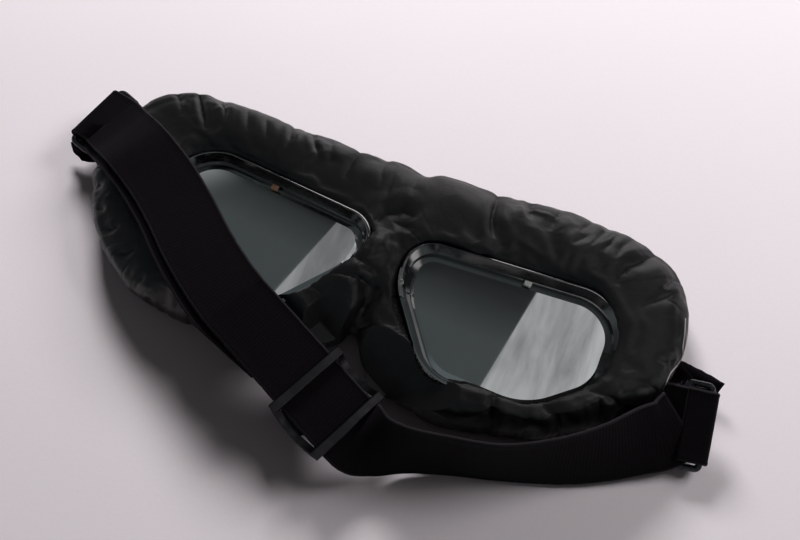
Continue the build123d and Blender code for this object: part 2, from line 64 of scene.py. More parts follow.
# The surrounds' rolls, in millimetres: angle round the lens centre in degrees, outer reach at the
# fullest, height of the crown, and how far the roll comes in over the rim
RIGHT_ROLL = [
    (-180, 41.7, 17.6, 0.0),
    (-165, 42.8, 17.4, 0.0),
    (-155, 45.3, 17.6, 0.0),
    (-149, 45.4, 18.6, 0.4),
    (-143, 44.8, 19.2, 1.0),
    (-136, 42.8, 20.4, 1.9),
    (-123, 37.8, 20.6, 2.4),
    (-111, 36.1, 20.2, 2.8),
    (-98, 33.6, 19.8, 3.1),
    (-79, 31.6, 19.5, 4.0),
    (-60, 32.2, 19.0, 3.8),
    (-41, 35.6, 18.6, 3.7),
    (-22, 39.8, 18.5, 4.0),
    (-6, 46.9, 18.4, 4.2),
    (0, 51.0, 18.3, 4.2),
    (8, 53.8, 18.2, 4.2),
    (17, 57.4, 18.1, 4.2),
    (28, 60.4, 18.0, 4.0),
    (35, 62.2, 18.0, 2.6),
    (43, 63.2, 18.2, 1.0),
    (53, 60.7, 18.4, 0.0),
    (70, 54.5, 18.4, 0.0),
    (94, 51.6, 18.4, 0.0),
    (113, 52.5, 18.4, 0.6),
    (122, 56.3, 18.4, 1.1),
    (129, 61.4, 18.4, 1.5),
    (136, 58.0, 18.2, 1.6),
    (146, 50.6, 17.6, 1.2),
    (158, 45.4, 17.0, 0.5),
    (170, 42.6, 17.2, 0.0),
]
LEFT_ROLL = [
    (-180, 41.7, 20.6, 4.2),
    (-165, 42.8, 20.4, 3.0),
    (-155, 45.2, 19.8, 2.2),
    (-148, 44.0, 19.4, 2.6),
    (-141, 42.4, 19.2, 3.2),
    (-131, 39.6, 19.2, 4.2),
    (-118, 36.6, 20.0, 4.8),
    (-105, 35.0, 18.9, 3.6),
    (-87, 34.6, 18.4, 3.0),
    (-64, 37.2, 17.8, 3.0),
    (-49, 42.0, 17.2, 3.0),
    (-33, 46.6, 16.6, 3.0),
    (-19, 52.0, 16.0, 2.8),
    (-4, 58.9, 15.6, 2.4),
    (2, 62.6, 15.5, 2.0),
    (10, 64.2, 15.5, 1.6),
    (20, 66.8, 15.6, 1.2),
    (27, 69.6, 15.8, 0.8),
    (32, 71.2, 16.0, 0.4),
    (37, 69.0, 16.4, 0.0),
    (44, 65.6, 17.0, 0.0),
    (57, 55.8, 17.8, 0.0),
    (70, 49.8, 18.2, 0.0),
    (84, 46.9, 18.4, 0.0),
    (98, 47.0, 18.4, 0.0),
    (113, 50.5, 18.4, 0.0),
    (122, 55.0, 18.4, 0.0),
    (129, 60.6, 18.2, 0.0),
    (136, 58.0, 17.8, 0.0),
    (146, 50.6, 17.4, 0.0),
    (156, 46.0, 17.8, 0.2),
    (167, 43.0, 19.6, 2.4),
]

# The photograph's width and height in pixels, and the camera that fits it: focal length and
# sensor, the point it looks at, its rise, turn and roll, and its distance; millimetres
PHOTO_SIZE = (800, 540)
FOCAL_LENGTH, SENSOR_WIDTH = 38.25, 36.0
TARGET = (4.7, 2.1, 9.0)
VIEW_RISE, VIEW_TURN, VIEW_ROLL = math.radians(62), math.radians(18.2), math.radians(5)
VIEW_DISTANCE = 273.0

# Creases: depth, width, and the points of the line as the photograph's pixels, each with the
# height that it is seen at: the surrounds' outer edge, their top, or a height of its own
EDGE, TOP = 9.5, 16.5
CREASES = [
    # brow of the left eye
    (1.3, 0.5, [(201, 97, EDGE), (203, 112, TOP), (206, 130, TOP)]),
    (1.0, 0.6, [(224, 104, EDGE), (225, 115, TOP), (226, 124, TOP)]),
    (0.7, 0.6, [(251, 116, EDGE), (249, 135, TOP)]),
    (0.5, 0.6, [(270, 127, EDGE), (268, 142, TOP)]),
    (0.9, 0.5, [(297, 130, EDGE), (290, 142, TOP), (285, 152, TOP)]),
    (0.8, 0.5, [(315, 142, EDGE), (318, 160, TOP)]),
    (0.8, 0.6, [(363, 156, EDGE), (350, 168, TOP), (343, 180, TOP)]),
    (0.6, 0.8, [(387, 168, EDGE), (378, 187, TOP)]),
    (0.6, 0.8, [(397, 176, EDGE), (386, 195, TOP), (378, 206, TOP)]),
    (0.6, 0.6, [(178, 97, EDGE), (183, 113, TOP)]),
    (0.4, 0.6, [(333, 150, EDGE), (330, 167, TOP)]),
    (0.5, 0.7, [(420, 182, EDGE), (410, 198, TOP)]),
    # nose
    (1.7, 1.3, [(370, 232, TOP), (375, 221, TOP), (386, 212, TOP), (402, 210, TOP), (418, 221, TOP)]),
    (0.7, 0.6, [(392, 221, TOP), (402, 226, TOP), (414, 233, TOP)]),
    (1.3, 0.8, [(350, 261, TOP), (366, 268, TOP), (380, 278, TOP)]),
    (1.1, 0.7, [(328, 280, TOP), (345, 281, TOP), (360, 284, TOP), (380, 291, TOP)]),
    (1.5, 0.8, [(303, 289, TOP), (317, 294, TOP), (324, 303, TOP), (326, 314, TOP)]),
    (2.6, 3.0, [(296, 322, 14), (315, 314, 14), (335, 309, 14), (352, 306, 14)]),
    (1.4, 1.0, [(338, 331, 14), (355, 326, 14), (372, 328, 14), (382, 336, 14)]),
    (0.9, 0.8, [(343, 340, 12), (360, 338, 13), (376, 340, 13)]),
    (0.8, 0.8, [(362, 266, TOP), (375, 262, TOP), (387, 255, TOP)]),
    (0.7, 0.9, [(352, 350, 12), (366, 350, 12), (384, 353, 13)]),
    (0.6, 0.6, [(394, 360, TOP), (402, 372, TOP)]),
    (0.5, 0.6, [(405, 364, TOP), (412, 374, TOP)]),
    (2.6, 2.0, [(346, 326, 12), (352, 353, 10), (368, 385, 8)]),
    # brow of the right eye
    (1.9, 0.7, [(498, 198, EDGE), (495, 210, TOP), (493, 222, TOP), (494, 241, TOP)]),
    (0.9, 0.6, [(527, 209, EDGE), (530, 221, TOP)]),
    (1.1, 0.8, [(560, 215, EDGE), (553, 225, TOP), (549, 232, TOP)]),
    (0.7, 0.7, [(594, 223, EDGE), (580, 233, TOP)]),
    (0.6, 0.6, [(588, 236, TOP), (570, 247, TOP)]),
    (0.6, 0.6, [(606, 232, EDGE), (592, 247, TOP)]),
    (0.7, 0.6, [(616, 239, EDGE), (603, 254, TOP)]),
    (0.6, 0.6, [(628, 245, EDGE), (612, 260, TOP)]),
    # outer end and front of the right eye
    (1.9, 1.1, [(654, 258, EDGE), (640, 262, TOP), (630, 266, TOP), (622, 274, TOP), (617, 287, TOP)]),
    (0.9, 0.8, [(672, 283, EDGE), (664, 290, TOP)]),
    (1.1, 0.9, [(672, 299, EDGE), (652, 303, TOP), (639, 309, TOP)]),
    (0.7, 0.7, [(684, 361, EDGE), (668, 364, 12), (655, 361, TOP)]),
    (0.8, 0.8, [(630, 381, TOP), (645, 385, TOP), (656, 393, 13), (662, 402, EDGE)]),
    (1.3, 0.9, [(588, 391, TOP), (605, 398, TOP), (620, 405, TOP), (640, 409, 13), (656, 404, EDGE)]),
    (1.1, 0.8, [(597, 399, TOP), (602, 410, TOP), (607, 422, 12)]),
    (1.9, 1.0, [(538, 400, 17), (550, 410, 17), (558, 422, 14), (568, 434, 11), (577, 445, 8)]),
    (1.5, 0.7, [(501, 393, 18), (494, 400, 18), (491, 409, 17), (492, 421, 14), (490, 436, EDGE)]),
    (0.5, 0.8, [(455, 374, 18), (448, 392, 15), (446, 408, 11)]),
    (0.6, 0.8, [(430, 366, 17), (424, 380, 14), (420, 396, 11)]),
    # front and outer end of the left eye
    (1.1, 0.6, [(107, 236, EDGE), (112, 232, 13), (121, 227, 14)]),
    (1.1, 0.6, [(121, 263, EDGE), (128, 258, 13), (140, 250, 14)]),
    (0.8, 0.7, [(90, 188, EDGE), (104, 186, 14)]),
    (0.8, 0.7, [(96, 214, EDGE), (108, 210, 14)]),
    (0.9, 0.7, [(136, 293, EDGE), (148, 280, 14)]),
    (0.8, 0.7, [(160, 309, EDGE), (172, 294, 14)]),
    (0.9, 0.7, [(186, 325, EDGE), (196, 310, 14)]),
    (0.7, 0.7, [(92, 165, EDGE), (104, 170, 13)]),
]
# Seam over the right end, and the raw corner of each tab, as points seen from above
END_SEAM = [
    (93.1, 19.9),
    (94.0, 14.3),
    (94.7, 9.6),
    (95.6, 7.3),
    (94.6, 4.1),
    (93.1, -0.1),
    (92.2, -6.1),
]
TAB_CORNERS = {
    "right": [
        (95.0, 9.6),
        (97.7, 9.6),
        (101.0, 9.2),
        (104.6, 8.8),
        (107.9, 8.2),
        (111.1, 7.3),
        (110.4, 4.6),
        (107.4, 2.0),
        (103.0, 0.4),
        (98.0, -0.8),
        (93.0, -1.0),
    ],
    "left": [
        (-110.0, 9.2),
        (-114.6, 7.6),
        (-120.2, 4.0),
        (-117.4, 1.2),
        (-113.0, -0.6),
        (-109.0, 0.6),
        (-106.0, 3.4),
    ],
}
# Puckers between the creases, where the edge is drawn in: side, first and last angle, pitch in
# degrees and depth
PUCKERS = [
    (1, 38, 75, 3.9, 0.08),
    (1, 78, 118, 5.3, 0.05),
    (1, -75, -25, 5.0, 0.10),
    (-1, 35, 118, 5.7, 0.06),
    (-1, -75, 20, 5.4, 0.09),
]

# Webbing stations in millimetres: middle of the strap, then the way across it
LEFT_STATIONS = [
    (-107.8, 13.9, 12.4, 0.178, 0.984, 0.0),
    (-100.9, 10.0, 15.2, 0.283, 0.959, 0.0),
    (-94.9, 6.8, 18.4, 0.386, 0.922, 0.0),
    (-89.0, 3.5, 20.6, 0.464, 0.886, 0.0),
    (-76.6, -3.6, 21.4, 0.543, 0.839, -0.035),
    (-64.5, -12.2, 22.2, 0.608, 0.789, -0.087),
    (-52.3, -22.1, 23.1, 0.602, 0.792, -0.104),
    (-41.3, -29.7, 23.3, 0.542, 0.836, -0.087),
    (-34.0, -34.0, 23.3, 0.373, 0.926, -0.051),
]
STRAIGHT_START = (-34.0, -34.0, 23.3)
STRAIGHT_WAY = (0.898551, -0.374554, -0.228725)
STRAIGHT_ACROSS = (0.373, 0.926, -0.051)
STRAIGHT_LENGTH = 51.787
SLIDER_AT = 40.912
SLIDER_HALF = 8.9
SLIDER_TRAVEL = 10.0
# Room in the cover for the slider and for the strap: first and last place along the strap's
# straight part, half width, height from the strap's middle and the cover's slope beside it
STRAP_ROOMS = (
    (SLIDER_AT - SLIDER_TRAVEL - SLIDER_HALF - 1.0, SLIDER_AT + SLIDER_HALF + 1.0, 17.2, -6.1, 1.1),
    (-14.0, 32.0, 11.8, -2.7, 0.9),
)
RIGHT_STATIONS = [
    (12.8, -53.5, 11.4, 0.319, 0.946, -0.052),
    (16.5, -54.3, 11.6, 0.173, 0.911, 0.375),
    (21.1, -54.2, 11.3, -0.012, 0.643, 0.766),
    (27.9, -52.7, 11.3, -0.073, 0.36, 0.93),
    (40.0, -49.3, 11.3, -0.067, 0.22, 0.973),
    (55.0, -45.0, 11.3, -0.075, 0.18, 0.98),
    (72.0, -36.9, 11.0, -0.19, 0.34, 0.92),
    (84.0, -28.6, 10.5, -0.33, 0.49, 0.81),
    (91.9, -21.7, 10.0, -0.392, 0.645, 0.656),
    (97.5, -17.1, 9.7, -0.333, 0.77, 0.545),
    (101.1, -12.0, 10.4, -0.161, 0.913, 0.375),
]
# Rings: inner bar, way outwards, way up from the tab, outer bar in those two ways
LEFT_RING = ((-108.055, 13.911, 7.568), (-0.984, 0.178, 0.0), (0.0, 0.0, 1.0), (6.344, 2.958))
RIGHT_RING = (
    (101.492, -10.580, 7.040),
    (0.984808, 0.173648, 0.0),
    (0.06505, -0.368915, 0.927184),
    (6.847, 1.455),
)


def metres(name, description, default):
    """A setting that is a length."""
    return FloatProperty(
        name=name, description=description, default=default, unit="LENGTH", subtype="DISTANCE"
    )


def hue(name, description, default):
    """A setting that is a colour."""
    return FloatVectorProperty(
        name=name, description=description, default=default, size=3, subtype="COLOR"
    )


class SurroundSettings(PropertyGroup):
    cell: metres("Cell", "Cell size of the padded shape before it is filled", 0.0018)
    pressure: FloatProperty(
        name="Pressure", description="How hard the filling presses", default=4.0
    )
    swell: metres("Swell", "The most that the cover may swell", 0.0008)
    gather_pitch: metres("Gather pitch", "Distance between the small pleats at the rims", 0.0014)
    colour: hue("Colour", "Colour of the satin leathercloth", (0.0030, 0.0026, 0.0028))


class WebbingSettings(PropertyGroup):
    width: metres("Width", "Width of the elastic webbing", 0.022)
    thickness: metres("Thickness", "Thickness of one ply", 0.0013)
    rib_pitch: metres("Rib pitch", "Distance between the cross ribs", 0.0011)
    colour: hue("Colour", "Colour of the webbing", (0.0036, 0.0027, 0.0034))


class MetalSettings(PropertyGroup):
    chrome: hue("Chrome", "Colour of the plated rims", (0.30, 0.29, 0.29))
    slider: hue("Slider", "Colour of the slider's dark finish", (0.045, 0.041, 0.044))


class LensSettings(PropertyGroup):
    tint: hue("Tint", "Colour of the mirrored glass", (0.46, 0.47, 0.47))


class GogglesSettings(PropertyGroup):
    surround: PointerProperty(type=SurroundSettings)
    webbing: PointerProperty(type=WebbingSettings)
    metal: PointerProperty(type=MetalSettings)
    lens: PointerProperty(type=LensSettings)
    seed: IntProperty(name="Seed", description="Picks the wrinkles' pattern", default=7)


# Materials


class Shade:
    """A socket on its way through a material; arithmetic on it adds Math nodes."""

    def __init__(self, finish, socket):
        self.finish = finish
        self.socket = socket

    def _math(self, operation, first, second=0.0):
        return self.finish.node(
            "ShaderNodeMath", {"operation": operation}, {0: first, 1: second}
        )

    def __add__(self, other):
        return self._math("ADD", self, other)

    def __radd__(self, other):
        return self._math("ADD", other, self)

    def __sub__(self, other):
        return self._math("SUBTRACT", self, other)

    def __rsub__(self, other):
        return self._math("SUBTRACT", other, self)

    def __mul__(self, other):
        return self._math("MULTIPLY", self, other)

    def __rmul__(self, other):
        return self._math("MULTIPLY", other, self)

    def sine(self):
        return self._math("SINE", self)

    def size(self):
        return self._math("ABSOLUTE", self)

    def spread(self, low, high, to_low=0.0, to_high=1.0):
        """The value carried from one range to another and kept inside it."""
        return self.finish.node(
            "ShaderNodeMapRange",
            {"clamp": True},
            {"Value": self, 1: low, 2: high, 3: to_low, 4: to_high},
        )


class Finish:
    """The nodes of a material, or of the world, being put together."""

    def __init__(self, name, store=None):
        self.made = (bpy.data.materials if store is None else store).new(name)
        self.made.use_nodes = True
        self.tree = self.made.node_tree
        self.tree.nodes.clear()

    def node(self, kind, settings=None, inputs=None, output=0):
        """Adds a node: its settings first, then the values or links of its sockets."""
        made = self.tree.nodes.new(kind)
        for name, value in (settings or {}).items():
            setattr(made, name, value)
        for key, value in (inputs or {}).items():
            if isinstance(value, Shade):
                self.tree.links.new(value.socket, made.inputs[key])
            else:
                made.inputs[key].default_value = value
        return Shade(self, made.outputs[output]) if len(made.outputs) else None

    def place(self):
        """The point's place in the object's own frame."""
        return self.node("ShaderNodeTexCoord", output=3)

    def stretched(self, scale):
        """The place, stretched by a factor along each axis."""
        return self.node(
            "ShaderNodeVectorMath", {"operation": "MULTIPLY"}, {0: self.place(), 1: scale}
        )

    def noise(self, scale, detail=3.0, rough=0.55, vector=None, warp=0.0):
        """Cloudy noise; the scale is in patches to a metre."""
        return self.node(
            "ShaderNodeTexNoise",
            {"noise_dimensions": "3D"},
            {
                "Vector": vector or self.place(),
                "Scale": scale,
                "Detail": detail,
                "Roughness": rough,
                "Distortion": warp,
            },
        )

    def cells(self, scale, feature="F1"):
        """Small cells: the distance from their middles, or from their edges."""
        return self.node(
            "ShaderNodeTexVoronoi", {"feature": feature}, {"Vector": self.place(), "Scale": scale}
        )

    def carried(self, name):
        """A number that the mesh carries."""
        return self.node("ShaderNodeAttribute", {"attribute_name": name}, output=2)

    def mix(self, factor, first, second):
        """Colours mixed by a factor."""
        four = [v if isinstance(v, Shade) else (*v, 1.0) for v in (first, second)]
        inputs = {0: factor, 6: four[0], 7: four[1]}
        return self.node("ShaderNodeMix", {"data_type": "RGBA"}, inputs, output=2)

    def bump(self, height, strength, distance, under=None):
        """Bumps of a height, over other bumps where these are given."""
        inputs = {"Height": height, "Strength": strength, "Distance": distance}
        if under is not None:
            inputs["Normal"] = under
        return self.node("ShaderNodeBump", None, inputs)

    def shade(self, **inputs):
        """Ends the material in a Principled shader; words stand for socket names."""
        named = {
            key.replace("_", " ").title().replace("Ior", "IOR"): value
            for key, value in inputs.items()
        }
        for key in ("Base Color", "Sheen Tint", "Specular Tint", "Coat Tint"):
            if key in named and not isinstance(named[key], Shade):
                named[key] = (*named[key], 1.0)
        surface = self.node("ShaderNodeBsdfPrincipled", None, named)
        self.node("ShaderNodeOutputMaterial", None, {"Surface": surface})
        return self.made


BLACK = (0.0, 0.0, 0.0)


def toned(colour, factor):
    """A colour made darker or brighter."""
    return tuple(channel * factor for channel in colour)


def leathercloth(name, colour):
    """Black satin leathercloth: fine grain, fine puckers, random dusty patches, and painted shade that
    darkens the colour in the folds.
    """
    finish = Finish(name)
    grain = finish.cells(2600, feature="DISTANCE_TO_EDGE")
    pores = finish.noise(5200, 2.0)
    puckers = finish.noise(260, 4.0, 0.6, finish.stretched((1.0, 1.0, 0.35)), warp=1.4)
    patches = finish.noise(45, 3.0)
    fold = finish.carried("fold")
    fine = finish.bump(grain.spread(0.0, 0.25) + pores * 0.5, 0.16, 0.00005)
    soft = finish.bump(puckers, 0.30, 0.00025, fine)
    dusty = tuple(c * 1.5 + 0.0006 for c in colour)
    base = finish.mix(patches.spread(0.42, 0.68), colour, dusty)
    # Painted shade: the colour is darkened where the cover lies deep in a crease or pucker.
    wear_and_fold_shade = finish.mix(fold.spread(0.1, 1.0, 0.0, 0.6), base, toned(colour, 0.45))
    return finish.shade(
        base_color=wear_and_fold_shade,
        roughness=patches.spread(0.3, 0.7, 0.38, 0.48) + pores.spread(0.3, 0.8, 0.0, 0.05),
        specular_ior_level=0.40,
        sheen_weight=0.02,
        sheen_roughness=0.4,
        sheen_tint=(0.80, 0.82, 0.85),
        normal=soft,
    )


def elastic(name, colour, rib_pitch, width):
    """Woven elastic webbing: cross ribs, lengthwise yarns, fuzz, denser selvedges, and painted shade in
    the groove beside each selvedge.
    """
    finish = Finish(name)
    along, across = finish.carried("along"), finish.carried("across")
    wander = finish.noise(900, 2.0) * 0.9
    ribs = (along * (2 * math.pi / rib_pitch) + wander).sine()
    yarns = (across * (2 * math.pi / (rib_pitch * 0.8)) + wander).sine()
    fuzz = finish.noise(4200, 4.0, 0.7)
    weave = ribs * 0.5 + yarns * 0.25 + fuzz * 1.1
    edge = (across.size() * (2 / width)).spread(0.915, 0.955)
    # Painted shade: the colour is darkened along the groove between the webbing's body and each
    # selvedge.
    groove_shade = (across.size() * (2 / width)).spread(0.86, 0.90) * (1.0 - edge)
    body = finish.mix(fuzz.spread(0.35, 0.75), toned(colour, 0.55), toned(colour, 1.9))
    selvedge = finish.mix(edge * 0.75, body, (0.020, 0.018, 0.020))
    groove_shaded = finish.mix(groove_shade * 0.6, selvedge, toned(colour, 0.4))
    return finish.shade(
        base_color=groove_shaded,
        roughness=fuzz.spread(0.2, 0.8, 0.78, 0.95),
        specular_ior_level=0.12,
        sheen_weight=0.02,
        sheen_roughness=0.5,
        sheen_tint=(0.55, 0.50, 0.58),
        normal=finish.bump(weave, 0.32, 0.00014),
    )


def plated(name, colour, smooth, wear_and_fold_shade):
    """Plated or painted metal with fine rubbing marks and small dents."""
    finish = Finish(name)
    rubbed = finish.noise(700, 3.0, 0.6, finish.stretched((1.0, 1.0, 3.0)))
    dull = finish.noise(120, 3.0)
    marks = finish.noise(1600, 2.0, 0.5, finish.stretched((6.0, 0.6, 1.0)))
    base = finish.mix(dull.spread(0.45, 0.75), colour, toned(colour, wear_and_fold_shade))
    wear = rubbed.spread(0.3, 0.75, smooth, smooth + 0.14) + marks.spread(0.55, 0.8, 0.0, 0.05)
    return finish.shade(
        base_color=base,
        metallic=1.0,
        roughness=wear,
        normal=finish.bump(marks + rubbed * 0.5, 0.08, 0.00008),
    )


def mirrored_glass(name, tint):
    """Mirrored goggle glass: a coated, faintly uneven, lightly dusty surface."""
    finish = Finish(name)
    dust = finish.noise(2300, 2.0, 0.6)
    haze = finish.noise(60, 3.0)
    return finish.shade(
        base_color=finish.mix(haze.spread(0.3, 0.7), tint, toned(tint, 0.93)),
        metallic=0.97,
        roughness=haze.spread(0.3, 0.8, 0.012, 0.035) + dust.spread(0.68, 0.8, 0.0, 0.08),
        ior=1.52,
        normal=finish.bump(finish.noise(28, 1.0), 0.02, 0.0004),
    )


def rubber(name):
    """Dull, fine-grained rubber."""
    finish = Finish(name)
    grain = finish.noise(3100, 3.0, 0.6)
    base = finish.mix(grain.spread(0.3, 0.7), (0.010, 0.010, 0.011), (0.024, 0.023, 0.024))
    return finish.shade(base_color=base, roughness=0.7, normal=finish.bump(grain, 0.3, 0.0001))


def knit(name):
    """Brushed lining cloth, with its small knitted cells."""
    finish = Finish(name)
    cells = finish.cells(1150)
    fuzz = finish.noise(3600, 4.0, 0.7)
    base = finish.mix(fuzz.spread(0.3, 0.7), (0.012, 0.011, 0.013), (0.045, 0.043, 0.048))
    return finish.shade(
        base_color=base,
        roughness=0.92,
        sheen_weight=0.3,
        sheen_roughness=0.5,
        normal=finish.bump(cells + fuzz * 0.6, 0.6, 0.0003),
    )


def thread(name, colour):
    """Twisted sewing thread."""
    finish = Finish(name)
    twist = finish.noise(5200, 3.0, 0.6, finish.stretched((1.0, 2.5, 1.0)))
    base = finish.mix(twist.spread(0.3, 0.7), toned(colour, 0.6), colour)
    return finish.shade(base_color=base, roughness=0.65, normal=finish.bump(twist, 0.5, 0.0001))


def paper(name):
    """Pale paper floor."""
    finish = Finish(name)
    fibre = finish.noise(900, 4.0, 0.6)
    cloud = finish.noise(6, 2.0)
    base = finish.mix(cloud.spread(0.3, 0.7), (0.83, 0.79, 0.815), (0.80, 0.765, 0.79))
    return finish.shade(
        base_color=finish.mix(fibre.spread(0.3, 0.7, 0.0, 0.25), base, (0.74, 0.70, 0.73)),
        roughness=0.75,
        specular_ior_level=0.3,
        normal=finish.bump(fibre, 0.12, 0.0002),
    )


def pleated_light(name, bright):
    """Cloth over a lamp, in long irregular pleats."""
    finish = Finish(name)
    pleats = finish.noise(34, 5.0, 0.62, finish.stretched((1.0, 0.16, 1.0)), warp=0.5)
    broad = finish.noise(11, 2.0, 0.5, finish.stretched((1.0, 0.35, 1.0)))
    knots = finish.noise(26, 2.0, 0.6, finish.stretched((1.0, 0.45, 1.0)))
    tone = (
        pleats.spread(0.34, 0.66, 0.45, 1.0)
        * broad.spread(0.3, 0.6, 0.72, 1.0)
        * knots.spread(0.30, 0.42, 0.72, 1.0)
    )
    colour = finish.mix(tone, BLACK, (0.97, 0.98, 1.0))
    glow = finish.node("ShaderNodeEmission", None, {"Color": colour, "Strength": bright})
    finish.node("ShaderNodeOutputMaterial", None, {"Surface": glow})
    return finish.made


def soft_glow(name, bright, colour):
    """An even cloth lamp whose edge fades out."""
    finish = Finish(name)
    fade = finish.carried("fade")
    faded = finish.mix(fade, BLACK, colour)
    glow = finish.node("ShaderNodeEmission", None, {"Color": faded, "Strength": bright})
    clear = finish.node("ShaderNodeBsdfTransparent")
    surface = finish.node("ShaderNodeMixShader", None, {0: fade, 1: clear, 2: glow})
    finish.node("ShaderNodeOutputMaterial", None, {"Surface": surface})
    return finish.made


# Meshes


def new_mesh(name, points, faces, material, smooth=True, carried=None):
    """An object from points in millimetres, its faces and the numbers it carries."""
    mesh = bpy.data.meshes.new(name)
    mesh.from_pydata([tuple(p) for p in np.asarray(points) * MM], [], faces)
    for key, values in (carried or {}).items():
        layer = mesh.attributes.new(key, "FLOAT", "POINT")
        layer.data.foreach_set("value", np.asarray(values, np.float32))
    mesh.polygons.foreach_set("use_smooth", [smooth] * len(mesh.polygons))
    mesh.update()
    piece = bpy.data.objects.new(name, mesh)
    bpy.context.scene.collection.objects.link(piece)
    if material:
        mesh.materials.append(material)
    return piece


def vertices_of(piece):
    """Places of a piece's vertices in millimetres."""
    flat = np.zeros(len(piece.data.vertices) * 3)
    piece.data.vertices.foreach_get("co", flat)
    return flat.reshape(-1, 3) / MM


def normals_of(piece):
    """Ways out of the surface at a piece's vertices."""
    flat = np.zeros(len(piece.data.vertices) * 3, np.float32)
    piece.data.vertices.foreach_get("normal", flat)
    return flat.reshape(-1, 3).astype(float)


def move_vertices(piece, points):
    """Puts a piece's vertices at places in millimetres."""
    piece.data.vertices.foreach_set("co", (np.asarray(points) * MM).astype(np.float32).ravel())
    piece.data.update()


def apply_modifiers(piece):
    """Puts the modified mesh in place of the piece's own."""
    graph = bpy.context.evaluated_depsgraph_get()
    graph.update()
    done = bpy.data.meshes.new_from_object(piece.evaluated_get(graph))
    piece.modifiers.clear()
    piece.data = done


def modify(piece, name, kind, **settings):
    """Gives a piece one modifier and puts the result in its place."""
    modifier = piece.modifiers.new(name, kind)
    for key, value in settings.items():
        setattr(modifier, key, value)
    apply_modifiers(piece)


def lattice(points, closed_rows, closed_columns):
    """Points and faces of a grid of rows, closed round either way."""
    rows, columns = points.shape[:2]
    faces = []
    for i in range(rows if closed_rows else rows - 1):
        for j in range(columns if closed_columns else columns - 1):
            a, b = i * columns + j, i * columns + (j + 1) % columns
            c, d = ((i + 1) % rows) * columns + (j + 1) % columns, ((i + 1) % rows) * columns + j
            faces.append((a, b, c, d))
    return points.reshape(-1, 3), faces


def hashed(cells, seed):
    """A steady number from 0 to 1 for each whole-numbered cell."""
    mixed = np.zeros(cells.shape[:-1], np.uint64)
    for axis, factor in enumerate((73856093, 19349663, 83492791)):
        if axis < cells.shape[-1]:
            part = cells[..., axis].astype(np.int64).astype(np.uint64)
            mixed ^= part * np.uint64(factor)
    mixed ^= np.uint64(seed * 2654435761)
    mixed ^= mixed >> np.uint64(13)
    mixed *= np.uint64(1274126177)
    mixed ^= mixed >> np.uint64(16)
    return (mixed % np.uint64(100003)).astype(float) / 100003.0


def value_noise(points, seed):
    """Smooth noise from -1 to 1 at points in cells of one unit."""
    points = np.asarray(points, float)
    base = np.floor(points)
    share = points - base
    share = share * share * (3 - 2 * share)
    total = np.zeros(points.shape[:-1])
    sides = points.shape[-1]
    for corner in range(2**sides):
        step = np.array([(corner >> axis) & 1 for axis in range(sides)], float)
        weight = np.prod(np.where(step == 1, share, 1 - share), axis=-1)
        total += weight * hashed(base + step, seed)
    return total * 2 - 1


def hull_reach(points, centre):
    """Function from angle to distance of the flat hull of points about a centre."""
    flat = np.unique(np.round(points[:, :2] - centre, 3), axis=0)
    order = flat[np.lexsort((flat[:, 1], flat[:, 0]))]

    def half(run):
        kept = []
        for p in run:
            while len(kept) > 1 and np.cross(kept[-1] - kept[-2], p - kept[-2]) <= 0:
                kept.pop()
            kept.append(p)
        return kept[:-1]

    ring = np.array(half(order) + half(order[::-1]))
    angles = np.arctan2(ring[:, 1], ring[:, 0])
    dense_angle, dense_reach = [], []
    for a, b in zip(ring, np.roll(ring, -1, axis=0)):
        for t in np.linspace(0, 1, 12, endpoint=False):
            p = a + (b - a) * t
            dense_angle.append(math.atan2(p[1], p[0]) % (2 * math.pi))
            dense_reach.append(math.hypot(*p))
    order = np.argsort(dense_angle)
    dense_angle, dense_reach = np.array(dense_angle)[order], np.array(dense_reach)[order]
    return lambda angle: np.interp(
        np.asarray(angle) % (2 * math.pi), dense_angle, dense_reach, period=2 * math.pi
    )


def carried_on(t, gap, first, first_slope, second, second_slope):
    """Smooth way from one value to the next, at a share t of the gap between them."""
    return (
        (2 * t**3 - 3 * t**2 + 1) * first
        + (t**3 - 2 * t**2 + t) * gap * first_slope
        + (3 * t**2 - 2 * t**3) * second
        + (t**3 - t**2) * gap * second_slope
    )


def round_table(table, column):
    """Smooth periodic function of an angle in degrees through a table's column."""
    angles = np.array([row[0] for row in table], float)
    values = np.array([row[column] for row in table], float)
    angles3 = np.concatenate([angles - 360, angles, angles + 360])
    values3 = np.tile(values, 3)
    slopes = np.gradient(values3, angles3)

    def at(angle):
        turned = (np.asarray(angle, float) + 8) % 360 - 8
        i = np.clip(np.searchsorted(angles3, turned, side="right") - 1, 0, len(angles3) - 2)
        gap = angles3[i + 1] - angles3[i]
        t = (turned - angles3[i]) / gap
        return carried_on(t, gap, values3[i], slopes[i], values3[i + 1], slopes[i + 1])

    return at


# Middle of the right lens, the surrounds' foot, the gap between rim and cover, the height of the
# rim's crest at the lens's middle and how much it falls off per millimetre outwards
LENS_X, LENS_Y = 42.02, -7.0
FOOT_Z = 1.2
RIM_GAP = 0.25
CREST_HEIGHT, CREST_FALL = 17.0, 0.0699
# How much smaller the cover is made before it is filled
SHRINK = 0.5
ROLLS = {1: RIGHT_ROLL, -1: LEFT_ROLL}
rim_points = np.array([v.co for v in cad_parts["right_rim"].data.vertices]) / MM
rim_reach = hull_reach(rim_points, np.array([LENS_X, LENS_Y]))
roll_reach = {side: round_table(table, 1) for side, table in ROLLS.items()}
roll_height = {side: round_table(table, 2) for side, table in ROLLS.items()}
roll_over = {side: round_table(table, 3) for side, table in ROLLS.items()}


def rim_top(angle):
    """Height of the rim's crest: the rim leans outwards with the lens."""
    return CREST_HEIGHT - CREST_FALL * rim_reach(angle) * np.cos(angle)


